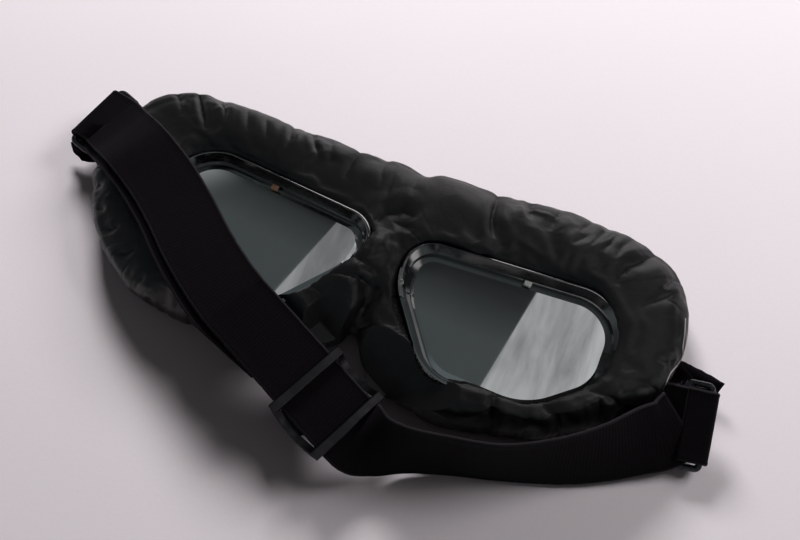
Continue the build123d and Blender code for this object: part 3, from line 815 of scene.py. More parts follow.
def roll_section(side, angle):
    """Closed section of the roll at an angle, as distances from the lens centre and heights."""
    roundness, tuck = 0.92, 3.4
    degrees = math.degrees(angle)
    rim = float(rim_reach(angle)) + RIM_GAP
    top = float(rim_top(angle))
    reach = float(roll_reach[side](degrees)) - SHRINK
    high = float(roll_height[side](degrees)) - SHRINK * 0.5
    over = max(float(roll_over[side](degrees)) + 0.3, 0.0)
    # where the roll comes in over the rim its lip lies on the crest, and below it elsewhere
    covered = min(max((over - 0.5) / 0.8, 0.0), 1.0)
    lip = top - 2.0 + covered * 2.3
    inner = rim - over
    high = max(high, lip + 1.2 + 0.4 * over)
    # the crown lies nearer the rim than the outer edge, and the belly is where it is widest
    crown = inner + (reach - inner) * (0.36 + 0.10 * covered)
    belly = high * 0.44
    section = [(rim, FOOT_Z), (rim, (FOOT_Z + lip) / 2), (rim, lip), (rim - over * 0.5, lip)]
    for share in np.linspace(0, 1, 16)[:-1] ** 1.6:
        rise = (1 - (1 - share) ** 2.2) ** 0.45
        section.append((inner + (crown - inner) * share, lip + (high - lip) * rise))
    for turn in np.linspace(0, math.pi / 2, 14)[:-1]:
        bulge, fall = math.sin(turn) ** roundness, math.cos(turn) ** roundness
        section.append((crown + (reach - crown) * bulge, belly + (high - belly) * fall))
    for turn in np.linspace(0, math.pi / 2, 7):
        drawn_in = tuck * (1 - math.cos(turn))
        section.append((reach - drawn_in, belly + (FOOT_Z - belly) * math.sin(turn)))
    section.append(((rim + reach) / 2, FOOT_Z))
    return section


def roll_mesh(side):
    """Points and faces of one eye's roll; side is 1 on the right and -1 on the left."""
    rows = []
    for angle in np.linspace(0, 2 * math.pi, 288, endpoint=False):
        across, up = math.cos(angle), math.sin(angle)
        section = roll_section(side, angle)
        rows.append([(side * (LENS_X + r * across), LENS_Y + r * up, z) for r, z in section])
    points, faces = lattice(np.array(rows), True, True)
    if side > 0:
        faces = [face[::-1] for face in faces]
    return points, faces


# Outline of the padding over the nose, seen from the side: place from nose to brow, and height
BRIDGE_PROFILE = [
    (-12.6, 1.2),
    (12.0, 1.2),
    (35.6, 1.2),
    (38.4, 4.5),
    (38.2, 9.5),
    (35.4, 14.4),
    (30.5, 17.4),
    (25.0, 18.2),
    (19.5, 17.8),
    (15.0, 16.8),
    (11.0, 17.2),
    (3.0, 18.2),
    (-5.0, 17.8),
    (-10.8, 14.6),
    (-13.8, 7.0),
]
BRIDGE_HALF = 8.4
BRIDGE_MIDDLE = 10


def bridge_mesh():
    """Points and faces of the padding between the eyes, over the nose."""
    rows = []
    for x in np.linspace(-BRIDGE_HALF, BRIDGE_HALF, 9):
        edge = 1 - 0.035 * (abs(x) / BRIDGE_HALF) ** 2
        lower = edge - SHRINK * 0.03
        rows.append(
            [
                (x, BRIDGE_MIDDLE + (y - BRIDGE_MIDDLE) * edge, FOOT_Z + (z - FOOT_Z) * lower)
                for y, z in BRIDGE_PROFILE
            ]
        )
    points, faces = lattice(np.array(rows), False, True)
    count = len(BRIDGE_PROFILE)
    last = (len(rows) - 1) * count
    faces.append(tuple(range(count))[::-1])
    faces.append(tuple(range(last, last + count)))
    return points, [face[::-1] for face in faces]


def polar(points, side):
    """Distance and angle of points about an eye's lens centre."""
    across = side * points[:, 0] - LENS_X
    up = points[:, 1] - LENS_Y
    return np.hypot(across, up), np.arctan2(up, across)


def view_axes():
    """The photograph's ways to the right, up and back to the camera."""
    back = np.array(
        [
            math.sin(VIEW_TURN) * math.cos(VIEW_RISE),
            -math.cos(VIEW_TURN) * math.cos(VIEW_RISE),
            math.sin(VIEW_RISE),
        ]
    )
    side = unit(np.cross(-back, (0, 0, 1)))
    top = np.cross(side, -back)
    rolled = math.cos(VIEW_ROLL), math.sin(VIEW_ROLL)
    return side * rolled[0] + top * rolled[1], top * rolled[0] - side * rolled[1], back


def seen_from_above(column, row, height):
    """Where the photograph's pixel shows a thing of this height, to a tenth of a millimetre."""
    side, top, back = view_axes()
    zoom = PHOTO_SIZE[0] * FOCAL_LENGTH / SENSOR_WIDTH
    out = side * ((column - PHOTO_SIZE[0] / 2) / zoom) - top * ((row - PHOTO_SIZE[1] / 2) / zoom)
    way = out - back
    eye = np.array(TARGET) + back * VIEW_DISTANCE
    place = eye + way * ((height - eye[2]) / way[2])
    return round(float(place[0]), 1), round(float(place[1]), 1)


def line_gap(places, line):
    """Flat distance of places from a broken line, and the share of the line where it is nearest."""
    line = np.asarray(line, float)
    lengths = np.linalg.norm(np.diff(line, axis=0), axis=1)
    gone, total = 0.0, lengths.sum()
    gap, share = np.full(len(places), 1e3), np.zeros(len(places))
    for a, b, length in zip(line, line[1:], lengths):
        t = np.clip((places - a) @ (b - a) / length**2, 0, 1)
        here = np.linalg.norm(places - (a + t[:, None] * (b - a)), axis=1)
        nearer = here < gap
        gap = np.where(nearer, here, gap)
        share = np.where(nearer, (gone + t * length) / total, share)
        gone += length
    return gap, share


def press_creases(points, normals, seed):
    """Presses the creases in, with a lip beside each; returns points and how deep they lie."""
    margin = 9.0
    flat = points[:, :2]
    wander = np.stack([value_noise(flat / 4.5, seed), value_noise(flat / 4.5, seed + 1)], -1)
    places = flat + 0.35 * wander
    deep, raised = np.zeros(len(points)), np.zeros(len(points))
    for depth, wide, pixels in CREASES:
        line = [seen_from_above(*pixel) for pixel in pixels]
        box = np.asarray(line)
        low, top = box.min(axis=0) - margin, box.max(axis=0) + margin
        near = np.nonzero(np.all((places > low) & (places < top), axis=1))[0]
        gap, share = line_gap(places[near], line)
        fade = np.clip((1.0 - share) / 0.35, 0, 1) ** 0.8 * np.clip(0.35 + share * 2.0, 0, 1)
        slit, trough = np.exp(-gap / wide), np.exp(-((gap / (wide * 3.0)) ** 2))
        cut = depth * fade * (0.8 * slit + 0.3 * trough)
        deep[near] = np.maximum(deep[near], cut)
        lift = 0.20 * depth * fade * np.exp(-(((gap - wide * 4.2) / (wide * 2.4)) ** 2))
        raised[near] = np.maximum(raised[near], lift)
    calm = np.clip((points[:, 2] - FOOT_Z) / 3.0, 0, 1)
    for side in (1, -1):
        reach, angle = polar(points, side)
        lip = (reach - rim_reach(angle) + roll_over[side](np.degrees(angle))) / 3.0
        calm *= np.where(side * points[:, 0] > 0, np.clip(lip, 0.25, 1), 1.0)
    return points + normals * ((raised - deep) * calm)[:, None], deep * calm / 1.6


def press_puckers(points, normals, seed):
    """Small puckers near the outer edge, where the cover's margin is drawn in."""
    amount = np.zeros(len(points))
    for side, first, last, pitch, depth in PUCKERS:
        reach, angle = polar(points, side)
        degrees = np.degrees(angle)
        rim = rim_reach(angle)
        share = (reach - rim) / np.maximum(roll_reach[side](degrees) - rim, 4.0)
        wide = np.clip((degrees - first) / 8, 0, 1) * np.clip((last - degrees) / 8, 0, 1)
        sway = value_noise(np.stack([degrees / 7.0, share * 2.5], -1), seed)
        place = degrees / pitch + 0.5 * share + 0.8 * sway
        ridge = np.abs(value_noise(np.stack([place, share * 1.1], -1), seed + 5))
        strong = np.clip((share - 0.42) / 0.4, 0, 1) * np.clip((points[:, 2] - 2.5) / 3, 0, 1)
        line = 1 - np.clip(ridge / 0.35, 0, 1)
        mine = side * points[:, 0] > 0
        amount -= np.where(mine, depth * wide * strong * line * 2.2, 0.0)
    return points + normals * amount[:, None], -amount


def press_gathers(points, normals, side, pitch, seed):
    """Small radial pleats where the cover is drawn in under the rim, strongest at the nose."""
    nose_angle, nose_spread = 190, 28
    everywhere, at_nose = 0.04, 0.42 if side > 0 else 0.16
    uneven_pitch = 1.35
    reach, angle = polar(points, side)
    rim = rim_reach(angle) + RIM_GAP
    out = np.clip(reach - rim, 0, None)
    around = angle * rim
    warp = value_noise(np.stack([around / 6.0, out / 4.0], -1), seed) * 1.1
    wave = np.sin((around + warp) / pitch * 2 * math.pi / uneven_pitch)
    mixed = 0.6 + 0.4 * value_noise(np.stack([around / 3.1, np.zeros_like(out)], -1), seed + 3)
    degrees = np.degrees(angle) % 360
    nose = np.exp(-(((degrees - nose_angle) / nose_spread) ** 2))
    size = (everywhere + at_nose * nose) * mixed
    fade = np.exp(-out / (1.6 + 0.9 * nose)) * np.clip(out / 0.5, 0, 1)
    mine = (side * points[:, 0] > 0.0) & (points[:, 2] > 8)
    return points + normals * np.where(mine, wave * size * fade, 0.0)[:, None]


def press_wrinkles(points, normals, seed):
    """Broad soft dents, and a few faint lines that run across the rolls."""
    broad, small, line_depth = 0.30, 0.14, 0.16
    amount = broad * value_noise(points / 13.0, seed) + small * value_noise(points / 5.5, seed + 3)
    for side in (1, -1):
        reach, angle = polar(points, side)
        skew = angle * 8.0 + reach * 0.05
        lines = 1 - np.abs(value_noise(np.stack([skew, reach / 15.0], -1), seed + 11 + side))
        patches = value_noise(np.stack([angle * 2.2, reach / 20.0], -1), seed + 17 + side)
        rare = np.clip(patches + 0.25, 0, 1)
        mine = np.clip(side * points[:, 0] / 4.0, 0, 1)
        amount -= line_depth * mine * rare * np.clip(lines - 0.8, 0, 1) / 0.2
    calm = np.clip((points[:, 2] - FOOT_Z) / 5.0, 0, 1)
    return points + normals * (amount * calm)[:, None]


def snug(points, side):
    """Keeps the cover's inner wall and its lip clear of the rim."""
    clear, wall_width, wall_below = 0.12, 1.2, 0.6
    reach, angle = polar(points, side)
    rim = rim_reach(angle) + clear
    top = rim_top(angle)
    mine = side * points[:, 0] > 0
    wall = mine & (reach < rim + wall_width) & (points[:, 2] < top - wall_below)
    lifted = mine & ~wall & (reach < rim)
    moved = points.copy()
    factor = np.where(wall, rim / np.maximum(reach, 1e-6), 1.0)
    across = (side * points[:, 0] - LENS_X) * factor
    moved[:, 0] = np.where(mine, side * (LENS_X + across), points[:, 0])
    moved[:, 1] = np.where(mine, LENS_Y + (points[:, 1] - LENS_Y) * factor, points[:, 1])
    slope = np.clip((rim - reach) / 1.0, 0, 1)
    lip = np.maximum(points[:, 2], top + 0.15 - 0.5 * (1 - slope))
    moved[:, 2] = np.where(lifted, lip, points[:, 2])
    return moved


def make_way_for_slider(points):
    """Presses the cover down under the strap, and where the slider and its loop lie and slide."""
    way, across = np.array(STRAIGHT_WAY), np.array(STRAIGHT_ACROSS)
    rise = np.cross(way, across)
    place = points - np.array(STRAIGHT_START)
    along, aside, height = place @ way, np.abs(place @ across), place @ rise
    limit = np.full(len(points), np.inf)
    for first, last, half, room, slope in STRAP_ROOMS:
        beyond = np.maximum(np.maximum(first - along, along - last), 0)
        outside = np.hypot(beyond, np.maximum(aside - half, 0))
        limit = np.minimum(limit, room + slope * outside)
    return points - rise * np.maximum(height - limit, 0)[:, None]


# The filling: how many steps it takes, and how the cloth gives
FILLING_STEPS = 20
FILLING_CLOTH = {
    "quality": 5,
    "mass": 0.3,
    "tension_stiffness": 12,
    "compression_stiffness": 12,
    "bending_stiffness": 0.4,
    "use_pressure": True,
    "vertex_group_mass": "held",
    "shrink_min": -0.03,
}


def fill_with_padding(piece, pressure, swell):
    """Fills the cover: cloth under pressure, held at the rims and the foot, that swells so far."""
    held_beside_rim, held_foot = 1.6, 2.2
    start = vertices_of(piece)
    held = piece.vertex_groups.new(name="held")
    for side in (1, -1):
        reach, angle = polar(start, side)
        beside = (reach < rim_reach(angle) + held_beside_rim) | (start[:, 2] < held_foot)
        near = (side * start[:, 0] > 0) & beside
        held.add([int(i) for i in np.nonzero(near)[0]], 1.0, "REPLACE")
    cloth = piece.modifiers.new("filling", "CLOTH").settings
    for key, value in FILLING_CLOTH.items():
        setattr(cloth, key, value)
    cloth.uniform_pressure_force = pressure
    cloth.effector_weights.gravity = 0.0
    scene = bpy.context.scene
    for step in range(1, FILLING_STEPS + 1):
        scene.frame_set(step)
    apply_modifiers(piece)
    scene.frame_set(1)
    move = vertices_of(piece) - start
    far = np.linalg.norm(move, axis=1)
    move *= (np.minimum(far, swell / MM) / np.maximum(far, 1e-9))[:, None]
    move_vertices(piece, start + move)


def rough_cover(cell):
    """The two rolls and the bridge, melted together into one even skin."""
    points, faces = [], []
    for part_points, part_faces in (roll_mesh(1), roll_mesh(-1), bridge_mesh()):
        first = sum(len(p) for p in points)
        points.append(part_points)
        faces += [tuple(i + first for i in face) for face in part_faces]
    cover = new_mesh("surround_cover", np.concatenate(points), faces, None)
    modify(cover, "cells", "REMESH", mode="VOXEL", voxel_size=cell)
    modify(cover, "even", "SMOOTH", iterations=3)
    place = vertices_of(cover)
    near = np.clip((13 - np.abs(place[:, 0])) / 5, 0, 1) * np.clip((place[:, 2] - 3) / 4, 0, 1)
    group = cover.vertex_groups.new(name="join")
    for i in np.nonzero(near > 0)[0]:
        group.add([int(i)], float(near[i]), "REPLACE")
    modify(cover, "melt", "SMOOTH", iterations=20, vertex_group="join")
    return cover


def gathered_cover(cover, gather_pitch, seed):
    """Wrinkles, creases and gathers the cover, and marks how deep each point lies in a fold."""
    lowest = 0.25
    body = press_wrinkles(vertices_of(cover), normals_of(cover), seed + 40)
    move_vertices(cover, body)
    body, deep = press_creases(body, normals_of(cover), seed)
    move_vertices(cover, body)
    body, drawn = press_puckers(body, normals_of(cover), seed + 60)
    # How deep each point lies in a crease or pucker; the leathercloth darkens its colour there as
    # painted shade.
    fold = np.clip(deep + drawn, 0, 1.5)
    move_vertices(cover, body)
    for side in (1, -1):
        body = press_gathers(body, normals_of(cover), side, gather_pitch, seed)
        body = snug(body, side)
    body = make_way_for_slider(body)
    body[:, 2] = np.maximum(body[:, 2], lowest)
    move_vertices(cover, body)
    layer = cover.data.attributes.new("fold", "FLOAT", "POINT")
    layer.data.foreach_set("value", fold.astype(np.float32))
    cover.data.polygons.foreach_set("use_smooth", [True] * len(cover.data.polygons))


class GOGGLES_OT_surrounds(Operator):
    """Makes the gathered cover over both eyes and the nose"""

    bl_idname = "goggles.surrounds"
    bl_label = "Padded surrounds"

    def execute(self, context):
        settings = context.scene.goggles
        surround = settings.surround
        cover = rough_cover(surround.cell)
        fill_with_padding(cover, surround.pressure, surround.swell)
        modify(cover, "finer", "SUBSURF", levels=2, render_levels=2)
        gathered_cover(cover, surround.gather_pitch / MM, settings.seed)
        cover.data.materials.clear()
        cover.data.materials.append(leathercloth("satin_leathercloth", tuple(surround.colour)))
        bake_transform(cover)
        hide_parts("left_cushion", "right_cushion", "bridge_pad")
        # The seam is real, but its pale grey thread is painted highlight: it draws the light line along
        # the seam.
        seam_highlight_thread = thread("pale_seam_thread_painted_highlight", (0.30, 0.29, 0.28))
        seam = threads("right_end_seam", [on_surface(cover, END_SEAM, 0.12)], 0.24, seam_highlight_thread)
        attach(seam, "right_half")
        return {"FINISHED"}


def on_surface(piece, line, lift):
    """Points of a line seen from above, laid on a piece's surface and a little over it."""
    tree = BVHTree.FromObject(piece, bpy.context.evaluated_depsgraph_get())
    step, high_above = 0.8, 60
    laid = []
    for x, y in spaced(line, step):
        place, normal, _, _ = tree.ray_cast(Vector((x, y, high_above)) * MM, Vector((0, 0, -1)))
        if place is not None:
            laid.append((np.array(place) + np.array(normal) * lift * MM) / MM)
    return laid


# Section of a lining: share of its width from the rim outwards, and height
LINING_SECTION = [
    (0, 0.9),
    (0.02, 0.35),
    (0.06, 0.10),
    (0.3, 0.02),
    (0.6, 0.0),
    (0.9, 0.05),
    (0.96, 0.3),
    (1, 0.8),
    (0.9, 1.15),
    (0.5, 1.25),
    (0.1, 1.2),
]
# How far the lining comes in under the rim, how far it stays inside the surround's edge, and
# its smallest distance from the middle of the nose
LINING_IN, LINING_MARGIN, NOSE_HALF = 2.4, 4.6, 5.4


def lining_mesh(side):
    """Points and faces of the flat ring that meets the face round one eye."""
    rows = []
    for angle in np.linspace(0, 2 * math.pi, 240, endpoint=False):
        across, up = math.cos(angle), math.sin(angle)
        inner = float(rim_reach(angle)) + RIM_GAP - LINING_IN
        outer = float(roll_reach[side](math.degrees(angle))) - LINING_MARGIN
        if across < -0.05:
            outer = min(outer, (LENS_X - NOSE_HALF) / -across)
        ripple = 0.10 * math.sin(angle * 41) + 0.06 * math.sin(angle * 67 + 1)
        section = []
        for share, z in LINING_SECTION:
            r = inner + (outer - inner) * share + (ripple if share > 0.9 else 0)
            section.append((side * (LENS_X + r * across), LENS_Y + r * up, z))
        rows.append(section)
    points, faces = lattice(np.array(rows), True, True)
    return points, faces if side > 0 else [face[::-1] for face in faces]


class GOGGLES_OT_linings(Operator):
    """Makes the soft linings under the surrounds"""

    bl_idname = "goggles.linings"
    bl_label = "Face linings"

    def execute(self, context):
        cloth = knit("lining_knit")
        for side, name in ((1, "right"), (-1, "left")):
            points, faces = lining_mesh(side)
            piece = new_mesh(f"{name}_lining", points, faces, cloth)
            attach(piece, f"{name}_half")
            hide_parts(f"{name}_face_lining")
        return {"FINISHED"}


# Webbing


def unit(vector):
    """The vector, one unit long."""
    vector = np.asarray(vector, float)
    return vector / np.linalg.norm(vector)


def smooth_run(rows, step):
    """Rows of numbers joined by a smooth curve and read off at about one step apart."""
    rows = np.asarray(rows, float)
    gaps = np.sqrt(np.linalg.norm(np.diff(rows[:, :3], axis=0), axis=1))
    at = np.concatenate([[0], np.cumsum(gaps)])
    slopes = np.stack([np.gradient(rows[:, c], at) for c in range(rows.shape[1])], -1)
    made = []
    for i in range(len(rows) - 1):
        count = max(2, int(np.linalg.norm(rows[i + 1, :3] - rows[i, :3]) / step))
        gap = at[i + 1] - at[i]
        for t in np.linspace(0, 1, count, endpoint=False):
            made.append(carried_on(t, gap, rows[i], slopes[i], rows[i + 1], slopes[i + 1]))
    made.append(rows[-1])
    return np.array(made)


# Half of the webbing's section: share of the half width, and share of the half thickness
WEB_HALF = [
    (0, 0.9),
    (0.2, 0.9),
    (0.45, 0.9),
    (0.7, 0.9),
    (0.87, 0.86),
    (0.90, 1.0),
    (0.95, 0.98),
    (0.985, 0.62),
    (1, 0.0),
]


def strap_section(width, thickness):
    """Section of the webbing: across and up, with round edges and slightly thicker selvedges."""
    half, thin = width / 2, thickness / 2
    profile = [(-share, rise) for share, rise in WEB_HALF[:0:-1]] + WEB_HALF
    top = [(share * half, rise * thin) for share, rise in profile]
    low = [(share * half, -rise * thin) for share, rise in profile[1:-1]]
    return np.array(top + low[::-1])


class Webbing:
    """The strap's cloth and sizes in millimetres, and how it lies round a ring's wire."""

    wire_radius, fold_gap, layer_gap = 1.0, 0.1, 0.3

    def __init__(self, settings):
        web = settings.webbing
        self.cloth = elastic("elastic_webbing", tuple(web.colour), web.rib_pitch, web.width)
        self.width, self.thick = web.width / MM, web.thickness / MM
        self.turn = self.wire_radius + self.fold_gap + self.thick / 2
        self.layer = self.thick + self.layer_gap
        self.seed = settings.seed


def ribbon(web, name, centres, across, number):
    """Webbing along centres in millimetres, with the way across it, one for all or one at each."""
    centres = np.asarray(centres, float)
    across = np.broadcast_to(np.asarray(across, float), centres.shape)
    ways = np.gradient(centres, axis=0)
    ways /= np.linalg.norm(ways, axis=1)[:, None]
    across = across - (np.sum(across * ways, axis=1))[:, None] * ways
    across /= np.linalg.norm(across, axis=1)[:, None]
    up = np.cross(ways, across)
    along = np.concatenate([[0], np.cumsum(np.linalg.norm(np.diff(centres, axis=0), axis=1))])
    section = strap_section(web.width, web.thick)
    seed = web.seed + number
    rows, run, cross = [], [], []
    for i, centre in enumerate(centres):
        edge = value_noise(np.array([[along[i] / 1.7, 0.5], [along[i] / 1.7, 7.5]]), seed) * 0.10
        cup = value_noise(np.array([[along[i] / 9.0, 3.5]]), seed)[0] * 0.10
        for u, v in section:
            side = u / (web.width / 2)
            u_here = u + edge[0 if side < 0 else 1] * abs(side) ** 8 * np.sign(side)
            v_here = v + cup * (side**2 - 0.3)
            rows.append(centre + across[i] * u_here + up[i] * v_here)
            run.append(along[i] * MM)
            cross.append(u * MM)
    grid = np.array(rows).reshape(len(centres), len(section), 3)
    points, faces = lattice(grid, False, True)
    count, last = len(section), (len(centres) - 1) * len(section)
    faces.append(tuple(range(count))[::-1])
    faces.append(tuple(range(last, last + count)))
    return new_mesh(name, points, faces, web.cloth, carried={"along": run, "across": cross})


def fold_line(centre, radius, first, second):
    """Flat path from a first point round a bar, on its far side, to a second point."""
    touches = []
    for point, side in ((first, 1), (second, -1)):
        away = math.hypot(point[0] - centre[0], point[1] - centre[1])
        facing = math.atan2(point[1] - centre[1], point[0] - centre[0])
        touches.append(facing - side * math.acos(min(1.0, radius / away)))
    start, end = touches
    while end > start:
        end -= 2 * math.pi
    path = [first]
    for turn in np.linspace(start, end, 18):
        path.append((centre[0] + radius * math.cos(turn), centre[1] + radius * math.sin(turn)))
    path.append(second)
    return path


def ring_axes(ring):
    """A ring's inner bar, its ways outwards and up, and the way along the bar."""
    inner, out, up = (np.array(part) for part in ring[:3])
    return inner, out, up, np.cross(up, out)


def in_ring(ring, path):
    """Points of a flat path carried into the frame of a ring."""
    inner, out, up, _ = ring_axes(ring)
    return [inner + out * x + up * y for x, y in path]


def spaced(points, step):
    """Points read off a broken line at about one step apart."""
    points = np.asarray(points, float)
    made = [points[0]]
    for a, b in zip(points, points[1:]):
        count = max(1, int(round(np.linalg.norm(b - a) / step)))
        made += [a + (b - a) * t for t in np.linspace(0, 1, count + 1)[1:]]
    return np.array(made)


def threads(name, lines, radius, material):
    """Short threads along lines of points, as thin tubes."""
    corners, end_share = 6, 0.75
    points, faces = [], []
    for line in lines:
        line = np.asarray(line, float)
        ways = np.gradient(line, axis=0)
        for i, (centre, way) in enumerate(zip(line, ways)):
            way = unit(way)
            side = unit(np.cross(way, (0.31, 0.22, 0.92)))
            other = np.cross(way, side)
            thin = radius * (end_share if i in (0, len(line) - 1) else 1.0)
            for turn in np.linspace(0, 2 * math.pi, corners, endpoint=False):
                points.append(centre + side * thin * math.cos(turn) + other * thin * math.sin(turn))
        first = len(points) - len(line) * corners
        for i in range(len(line) - 1):
            for j in range(corners):
                a, b = first + i * corners + j, first + i * corners + (j + 1) % corners
                faces.append((a, b, b + corners, a + corners))
        faces.append(tuple(first + j for j in range(corners))[::-1])
        faces.append(tuple(len(points) - corners + j for j in range(corners)))
    return new_mesh(name, np.array(points), faces, material)


def stitches(line, up, length=1.9, gap=0.7, lift=0.16):
    """Runs of short stitches along a line of points on a surface."""
    count = 6
    line = spaced(line, 0.1)
    at = np.concatenate([[0], np.cumsum(np.linalg.norm(np.diff(line, axis=0), axis=1))])
    made = []
    begin = 0.0
    while begin + length < at[-1]:
        places = np.linspace(begin, begin + length, count)
        heights = lift * np.sin(np.linspace(0.1, math.pi - 0.1, count)) - 0.04
        made.append(
            [
                [np.interp(p, at, line[:, c]) + up[c] * h for c in range(3)]
                for p, h in zip(places, heights)
            ]
        )
        begin += length + gap
    return made


# Distance between the points of a fold
FOLD_STEP = 0.7


def straight_places(first, last):
    """Places on the strap's straight part, a millimetre apart."""
    return np.array(STRAIGHT_START) + np.outer(np.arange(first, last, 1.0), np.array(STRAIGHT_WAY))


def left_strap(web):
    """From under the slider's left bar out to the left ring, round it and back as a lower layer."""
    shorter, shifted, shift_run = 12, 2.4, 22.0
    fold_end = 3.25
    inner, _, up, bar = ring_axes(LEFT_RING)
    straight = straight_places(0.0, SLIDER_AT - SLIDER_HALF + 0.2)
    curve = smooth_run(LEFT_STATIONS, 1.0)
    upper = np.concatenate([straight[:0:-1], curve[::-1, :3]])
    straight_across = np.tile(STRAIGHT_ACROSS, (len(straight) - 1, 1))
    upper_across = np.concatenate([straight_across, curve[::-1, 3:]])
    height = float((curve[0, :3] - inner) @ up)
    fold = fold_line(LEFT_RING[3], web.turn, (0, height), (0, fold_end))
    fold = spaced(in_ring(LEFT_RING, fold)[1:], FOLD_STEP)
    ways = np.gradient(upper, axis=0)
    ups = np.cross(ways / np.linalg.norm(ways, axis=1)[:, None], upper_across)
    end = len(upper) - shorter
    aside = shifted * np.clip((end - np.arange(len(upper))) / shift_run, 0, 1)
    lower = upper[::-1] + ups[::-1] * web.layer - upper_across[::-1] * aside[:, None]
    line = np.concatenate([upper, fold, lower[:end]])
    fold_across = np.tile(-bar, (len(fold), 1))
    sides = np.concatenate([upper_across, fold_across, upper_across[::-1][:end]])
    sides = np.where((sides @ np.array([0.4, 0.9, 0]) < 0)[:, None], -sides, sides)
    return ribbon(web, "strap_left", line, sides, 1)


def right_strap(web):
    """From the slider's left bar through it, turned on edge, to the right ring."""
    straight = straight_places(SLIDER_AT - SLIDER_HALF - 0.4, STRAIGHT_LENGTH - 1)
    curve = smooth_run(RIGHT_STATIONS, 1.0)
    line = np.concatenate([straight, curve[:, :3]])
    sides = np.concatenate([np.tile(STRAIGHT_ACROSS, (len(straight), 1)), curve[:, 3:]])
    return ribbon(web, "strap_right", line, sides, 2)


def right_fold(web):
    """The fold round the right ring's outer bar, and the short sewn ply."""
    ply_end = (2.65, 1.75)
    inner, out, up, bar = ring_axes(RIGHT_RING)
    begin = (np.array(RIGHT_STATIONS[-1][:3]) - inner) @ np.stack([out, up], -1)
    fold = fold_line(RIGHT_RING[3], web.turn, tuple(begin), ply_end)
    return ribbon(web, "strap_right_fold", spaced(in_ring(RIGHT_RING, fold), FOLD_STEP), -bar, 3)


def end_loop(web):
    """The strap's end, folded round the slider's middle bar."""
    bar_radius, bar_depth, reach = 0.95, 3.15, 7.1
    way, across = np.array(STRAIGHT_WAY), np.array(STRAIGHT_ACROSS)
    rise = np.cross(way, across)
    middle = np.array(STRAIGHT_START) + way * SLIDER_AT
    turn = bar_radius + web.fold_gap + web.thick / 2
    loop = fold_line((0, -bar_depth), turn, (-reach, -web.layer), (-reach, -2 * web.layer))
    loop = spaced([middle + way * x + rise * y for x, y in loop], FOLD_STEP)
    return ribbon(web, "strap_loop", loop, across, 4)


# Height of each of a tab's two plies from the middle between them
TAB_PLY = 0.7


def strap_tab(web, name, ring):
    """The doubled tab round a ring's inner bar."""
    straight, hidden_end = -5, -16
    path = fold_line((0, 0), web.turn, (straight, TAB_PLY), (straight, -TAB_PLY))
    path = [(hidden_end, TAB_PLY)] + path + [(hidden_end, -TAB_PLY)]
    path = spaced(in_ring(ring, path), FOLD_STEP)
    return ribbon(web, f"{name}_tab", path, ring_axes(ring)[3], 5)


def tab_fray(web, name, ring, yarn):
    """Loose yarns at the raw side of a tab, each from its root over a bend to its tip."""
    yarns, raw_side = 26, 10.9
    inner, out, up, bar = ring_axes(ring)
    edge = 1 if name == "right" else -1
    lines = []
    for k in range(yarns):
        share = hashed(np.array([k, 3, 1]), web.seed)
        spin = hashed(np.array([k, 5, 2]), web.seed)
        root = inner + out * (-2.5 + 4.2 * share) + bar * edge * raw_side
        root = root + up * (0.7 if k % 2 else -0.6)
        reach = 0.5 + 1.5 * spin**3
        tip = root + bar * edge * reach + out * (spin - 0.5) * 1.6 + up * (share - 0.4) * 1.2
        bend = (root + tip) / 2 + up * 0.3 * spin
        lines.append([root, bend, tip])
    return threads(f"{name}_tab_fray", lines, 0.09, yarn)


# Section of a tab's raw corner: share of the way from its middle to its outline, and height
CORNER_SECTION = [
    (0.02, 0.45),
    (0.5, 0.45),
    (0.96, 0.45),
    (1.0, 0.2),
    (1.0, -0.2),
    (0.96, -0.45),
    (0.5, -0.45),
    (0.02, -0.45),
]
# How far each corner hangs down at its lower side
CORNER_DROP = {"right": 3.0, "left": 2.4}


def tab_corner(web, name, ring):
    """The raw corner of a tab, which stands out past the surround and hangs down a little."""
    corners = np.array(TAB_CORNERS[name])
    rim = spaced(np.concatenate([corners, corners[:1]]), 0.6)[:-1]
    rim = rim + 0.16 * np.stack([value_noise(rim / 1.1, 3), value_noise(rim / 1.1, 9)], -1)
    middle = corners.mean(axis=0)
    grid = []
    for share, z in CORNER_SECTION:
        flat = middle + (rim - middle) * share
        low = np.clip((6.4 - flat[:, 1]) / 2.6, 0, 1) * CORNER_DROP[name]
        height = ring[0][2] - 0.8 - low + 0.4 * value_noise(flat / 5.0, 21)
        grid.append(np.concatenate([flat, (height + z)[:, None]], axis=1))
    points, faces = lattice(np.array(grid), True, True)
    carried = {"along": points[:, 0] * MM, "across": (points[:, 1] - middle[1]) * MM}
    return new_mesh(f"{name}_tab_corner", points, faces, web.cloth, carried=carried)


def tab_stitches(web, name, ring, sewing):
    """Two rows of stitches across a tab."""
    inner, out, up, bar = ring_axes(ring)
    seams, row_half = (-7.5, -9.2), 9.8
    top = TAB_PLY + web.thick / 2
    rows = []
    for x in seams:
        ends = [inner + out * x + up * top + bar * y for y in (-row_half, row_half)]
        rows += stitches(ends, up)
    return threads(f"{name}_tab_stitches", rows, 0.17, sewing)


